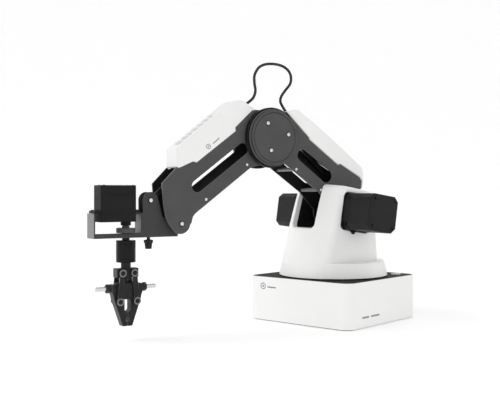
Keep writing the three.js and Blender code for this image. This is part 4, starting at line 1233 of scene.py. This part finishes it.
def make_link(end, sign, side, flip):
    span, body = side_span(flip), "link_" + end
    across, down = JAW_PIVOT[0] - LINK_TOP[0], LINK_TOP[1] - JAW_PIVOT[1]
    length = hypot(across, down)
    lean = Matrix.Rotation(atan2(down, sign * across), 4, "Y")
    place = TOOL @ Matrix.Translation((sign * LINK_TOP[0], 0, LINK_TOP[1])) @ lean
    outline, holes = lever((0, 0), 2.9, (length, 0), 3.2), [ring(2.05), ring(2.0, length)]
    bar = slab(outline, *span(6.6, 8.4), holes=holes)
    piece(f"link_bar_{end}_{side}", bar, place, body, [BLACK_METAL, BLACK_EDGE], [f"link_{end}_{side}"])
    collar = tube(*RING, *span(8.4, 9.0), "y", (0, 0, 0), 0.2)
    screw = dome_head(2.7, 1.9, "y", (0, flip * SCREW_SEAT, 0), flip=flip < 0)
    both = merged(painted(screw, 1), painted(collar))
    piece(f"link_screw_{end}_{side}", both, place, body, [BAR, BLACK_METAL])


def make_jaw(end, sign):
    x, z, body = sign * JAW_PIVOT[0], JAW_PIVOT[1], "jaw_" + end
    blank = slab([Vector((sign * p.x, p.y)) for p in rounded(JAW, 4)], -4.9, 4.9, bevel=0.5)
    finger = boolean(blank, [rod(2.95, *side_span(sign)(10, 30), "x", (0, 0, GUIDE_H))])
    # Painted light: the finger's faces that look along +x take the lighter arm metal.
    for face in finger.faces:
        if face.normal.x > 0.8:
            face.material_index = 2
    axle = rod(1.6, -PIN_HALF, PIN_HALF, "y", (x, 0, z))
    piece("finger_" + end, merged(finger, axle), TOOL, body, [BLACK_METAL, BLACK_EDGE, METAL], [body])
    rings = [tube(*RING, *side_span(flip)(8.55, 9.1), "y", (x, 0, z), 0.2) for flip in (1, -1)]
    piece("finger_rings_" + end, merged(*rings), TOOL, body, BAR)
    piece("finger_screws_" + end, merged(*both_heads(2.7, 1.9, x, SCREW_SEAT, z)), TOOL, body, BLACK_METAL)
    piece("finger_nut_" + end, hex_nut(sign), TOOL, body, BLACK_METAL)


def hex_nut(sign):
    """A nut and its collar against the outer side of a jaw, round the guide rod."""
    span = side_span(sign)
    nut = slab([p * 5.0 for p in HEX], *span(20, 23.8), holes=[ring(2.95)], bevel=0.5, plan=True)
    collar = tube(4.2, 2.95, *span(18.4, 20.1), "z")
    return moved(merged(painted(nut), collar), Matrix.Translation((0, 0, GUIDE_H)) @ AXES["x"])


make_gripper()

# ---------- CAD pieces that stay, with a finish of their own ----------
KEPT = {
    BOARD: ("controller_board",),
    MOTOR: ("yaw_motor",),
    ALUMINIUM: ("yaw_gearbox", "turntable", "shoulder_gearbox", "elbow_gearbox"),
    STEEL: ("slew_bearing", "elbow_shaft", "crank_pin", "drive_tail_pin"),
    BLACK_METAL: (
        "levelling_anchor", "shoulder_motor", "elbow_motor", "elbow_level_plate", "rear_levelling_rod",
        "forearm_levelling_rod", "forearm_crank", "forearm_drive_rod",
    ),
}
for material, nodes in KEPT.items():
    for node in nodes:
        obj = frame["nodes"][node]
        obj.data.materials.clear()
        obj.data.materials.append(material)
        weld = obj.modifiers.new("weld", "WELD")
        weld.merge_threshold = 1e-5
        edge = obj.modifiers.new("edge", "BEVEL")
        edge.width = 0.0003
        edge.segments = 2
        edge.limit_method = "ANGLE"
        edge.angle_limit = radians(40)
        weigh_normals(obj)


# ---------- Stage: a pale floor that rises all round, and soft lights ----------
def make_stage():
    flat, bend = 1.2, 1.6
    turns = [pi / 2 * k / 16 for k in range(1, 17)]
    rise = [(flat + bend * sin(t), bend * (1 - cos(t))) for t in turns]
    floor = placed("floor", lathe([(0, 0), (flat, 0), *rise, (flat + bend, 4.0)], 96))
    for polygon in floor.data.polygons:
        polygon.use_smooth = True
    material = bpy.data.materials.new("floor")
    material.use_nodes = True
    values = {
        "Base Color": (0.9, 0.9, 0.9, 1), "Roughness": 0.9, "Specular IOR Level": 0.1,
        "Emission Color": (1, 1, 1, 1), "Emission Strength": 0.23,
    }
    for socket, value in values.items():
        material.node_tree.nodes["Principled BSDF"].inputs[socket].default_value = value
    floor.data.materials.append(material)


def area_light(name, place, target, size, power):
    lamp = bpy.data.lights.new(name, "AREA")
    lamp.shape = "RECTANGLE"
    lamp.size, lamp.size_y = size
    lamp.energy = power
    obj = bpy.data.objects.new(name, lamp)
    obj.location = place
    obj.rotation_euler = (Vector(target) - Vector(place)).to_track_quat("-Z", "Y").to_euler()
    bpy.context.scene.collection.objects.link(obj)


def make_lights():
    world = bpy.data.worlds.new("studio")
    bpy.context.scene.world = world
    world.use_nodes = True
    back = world.node_tree.nodes["Background"]
    back.inputs["Color"].default_value = (1, 1, 1, 1)
    back.inputs["Strength"].default_value = 0.38
    area_light("key", (-0.9, -1.3, 1.5), (0, -0.1, 0.12), (1.1, 1.1), 9.5)
    area_light("fill", (1.5, -0.4, 0.9), (0, 0, 0.15), (1.0, 1.2), 0.15)
    area_light("top", (0.0, 0.2, 1.9), (0, 0, 0.1), (1.6, 1.6), 5)
    bpy.context.scene.view_settings.view_transform = "Standard"


make_stage()
make_lights()
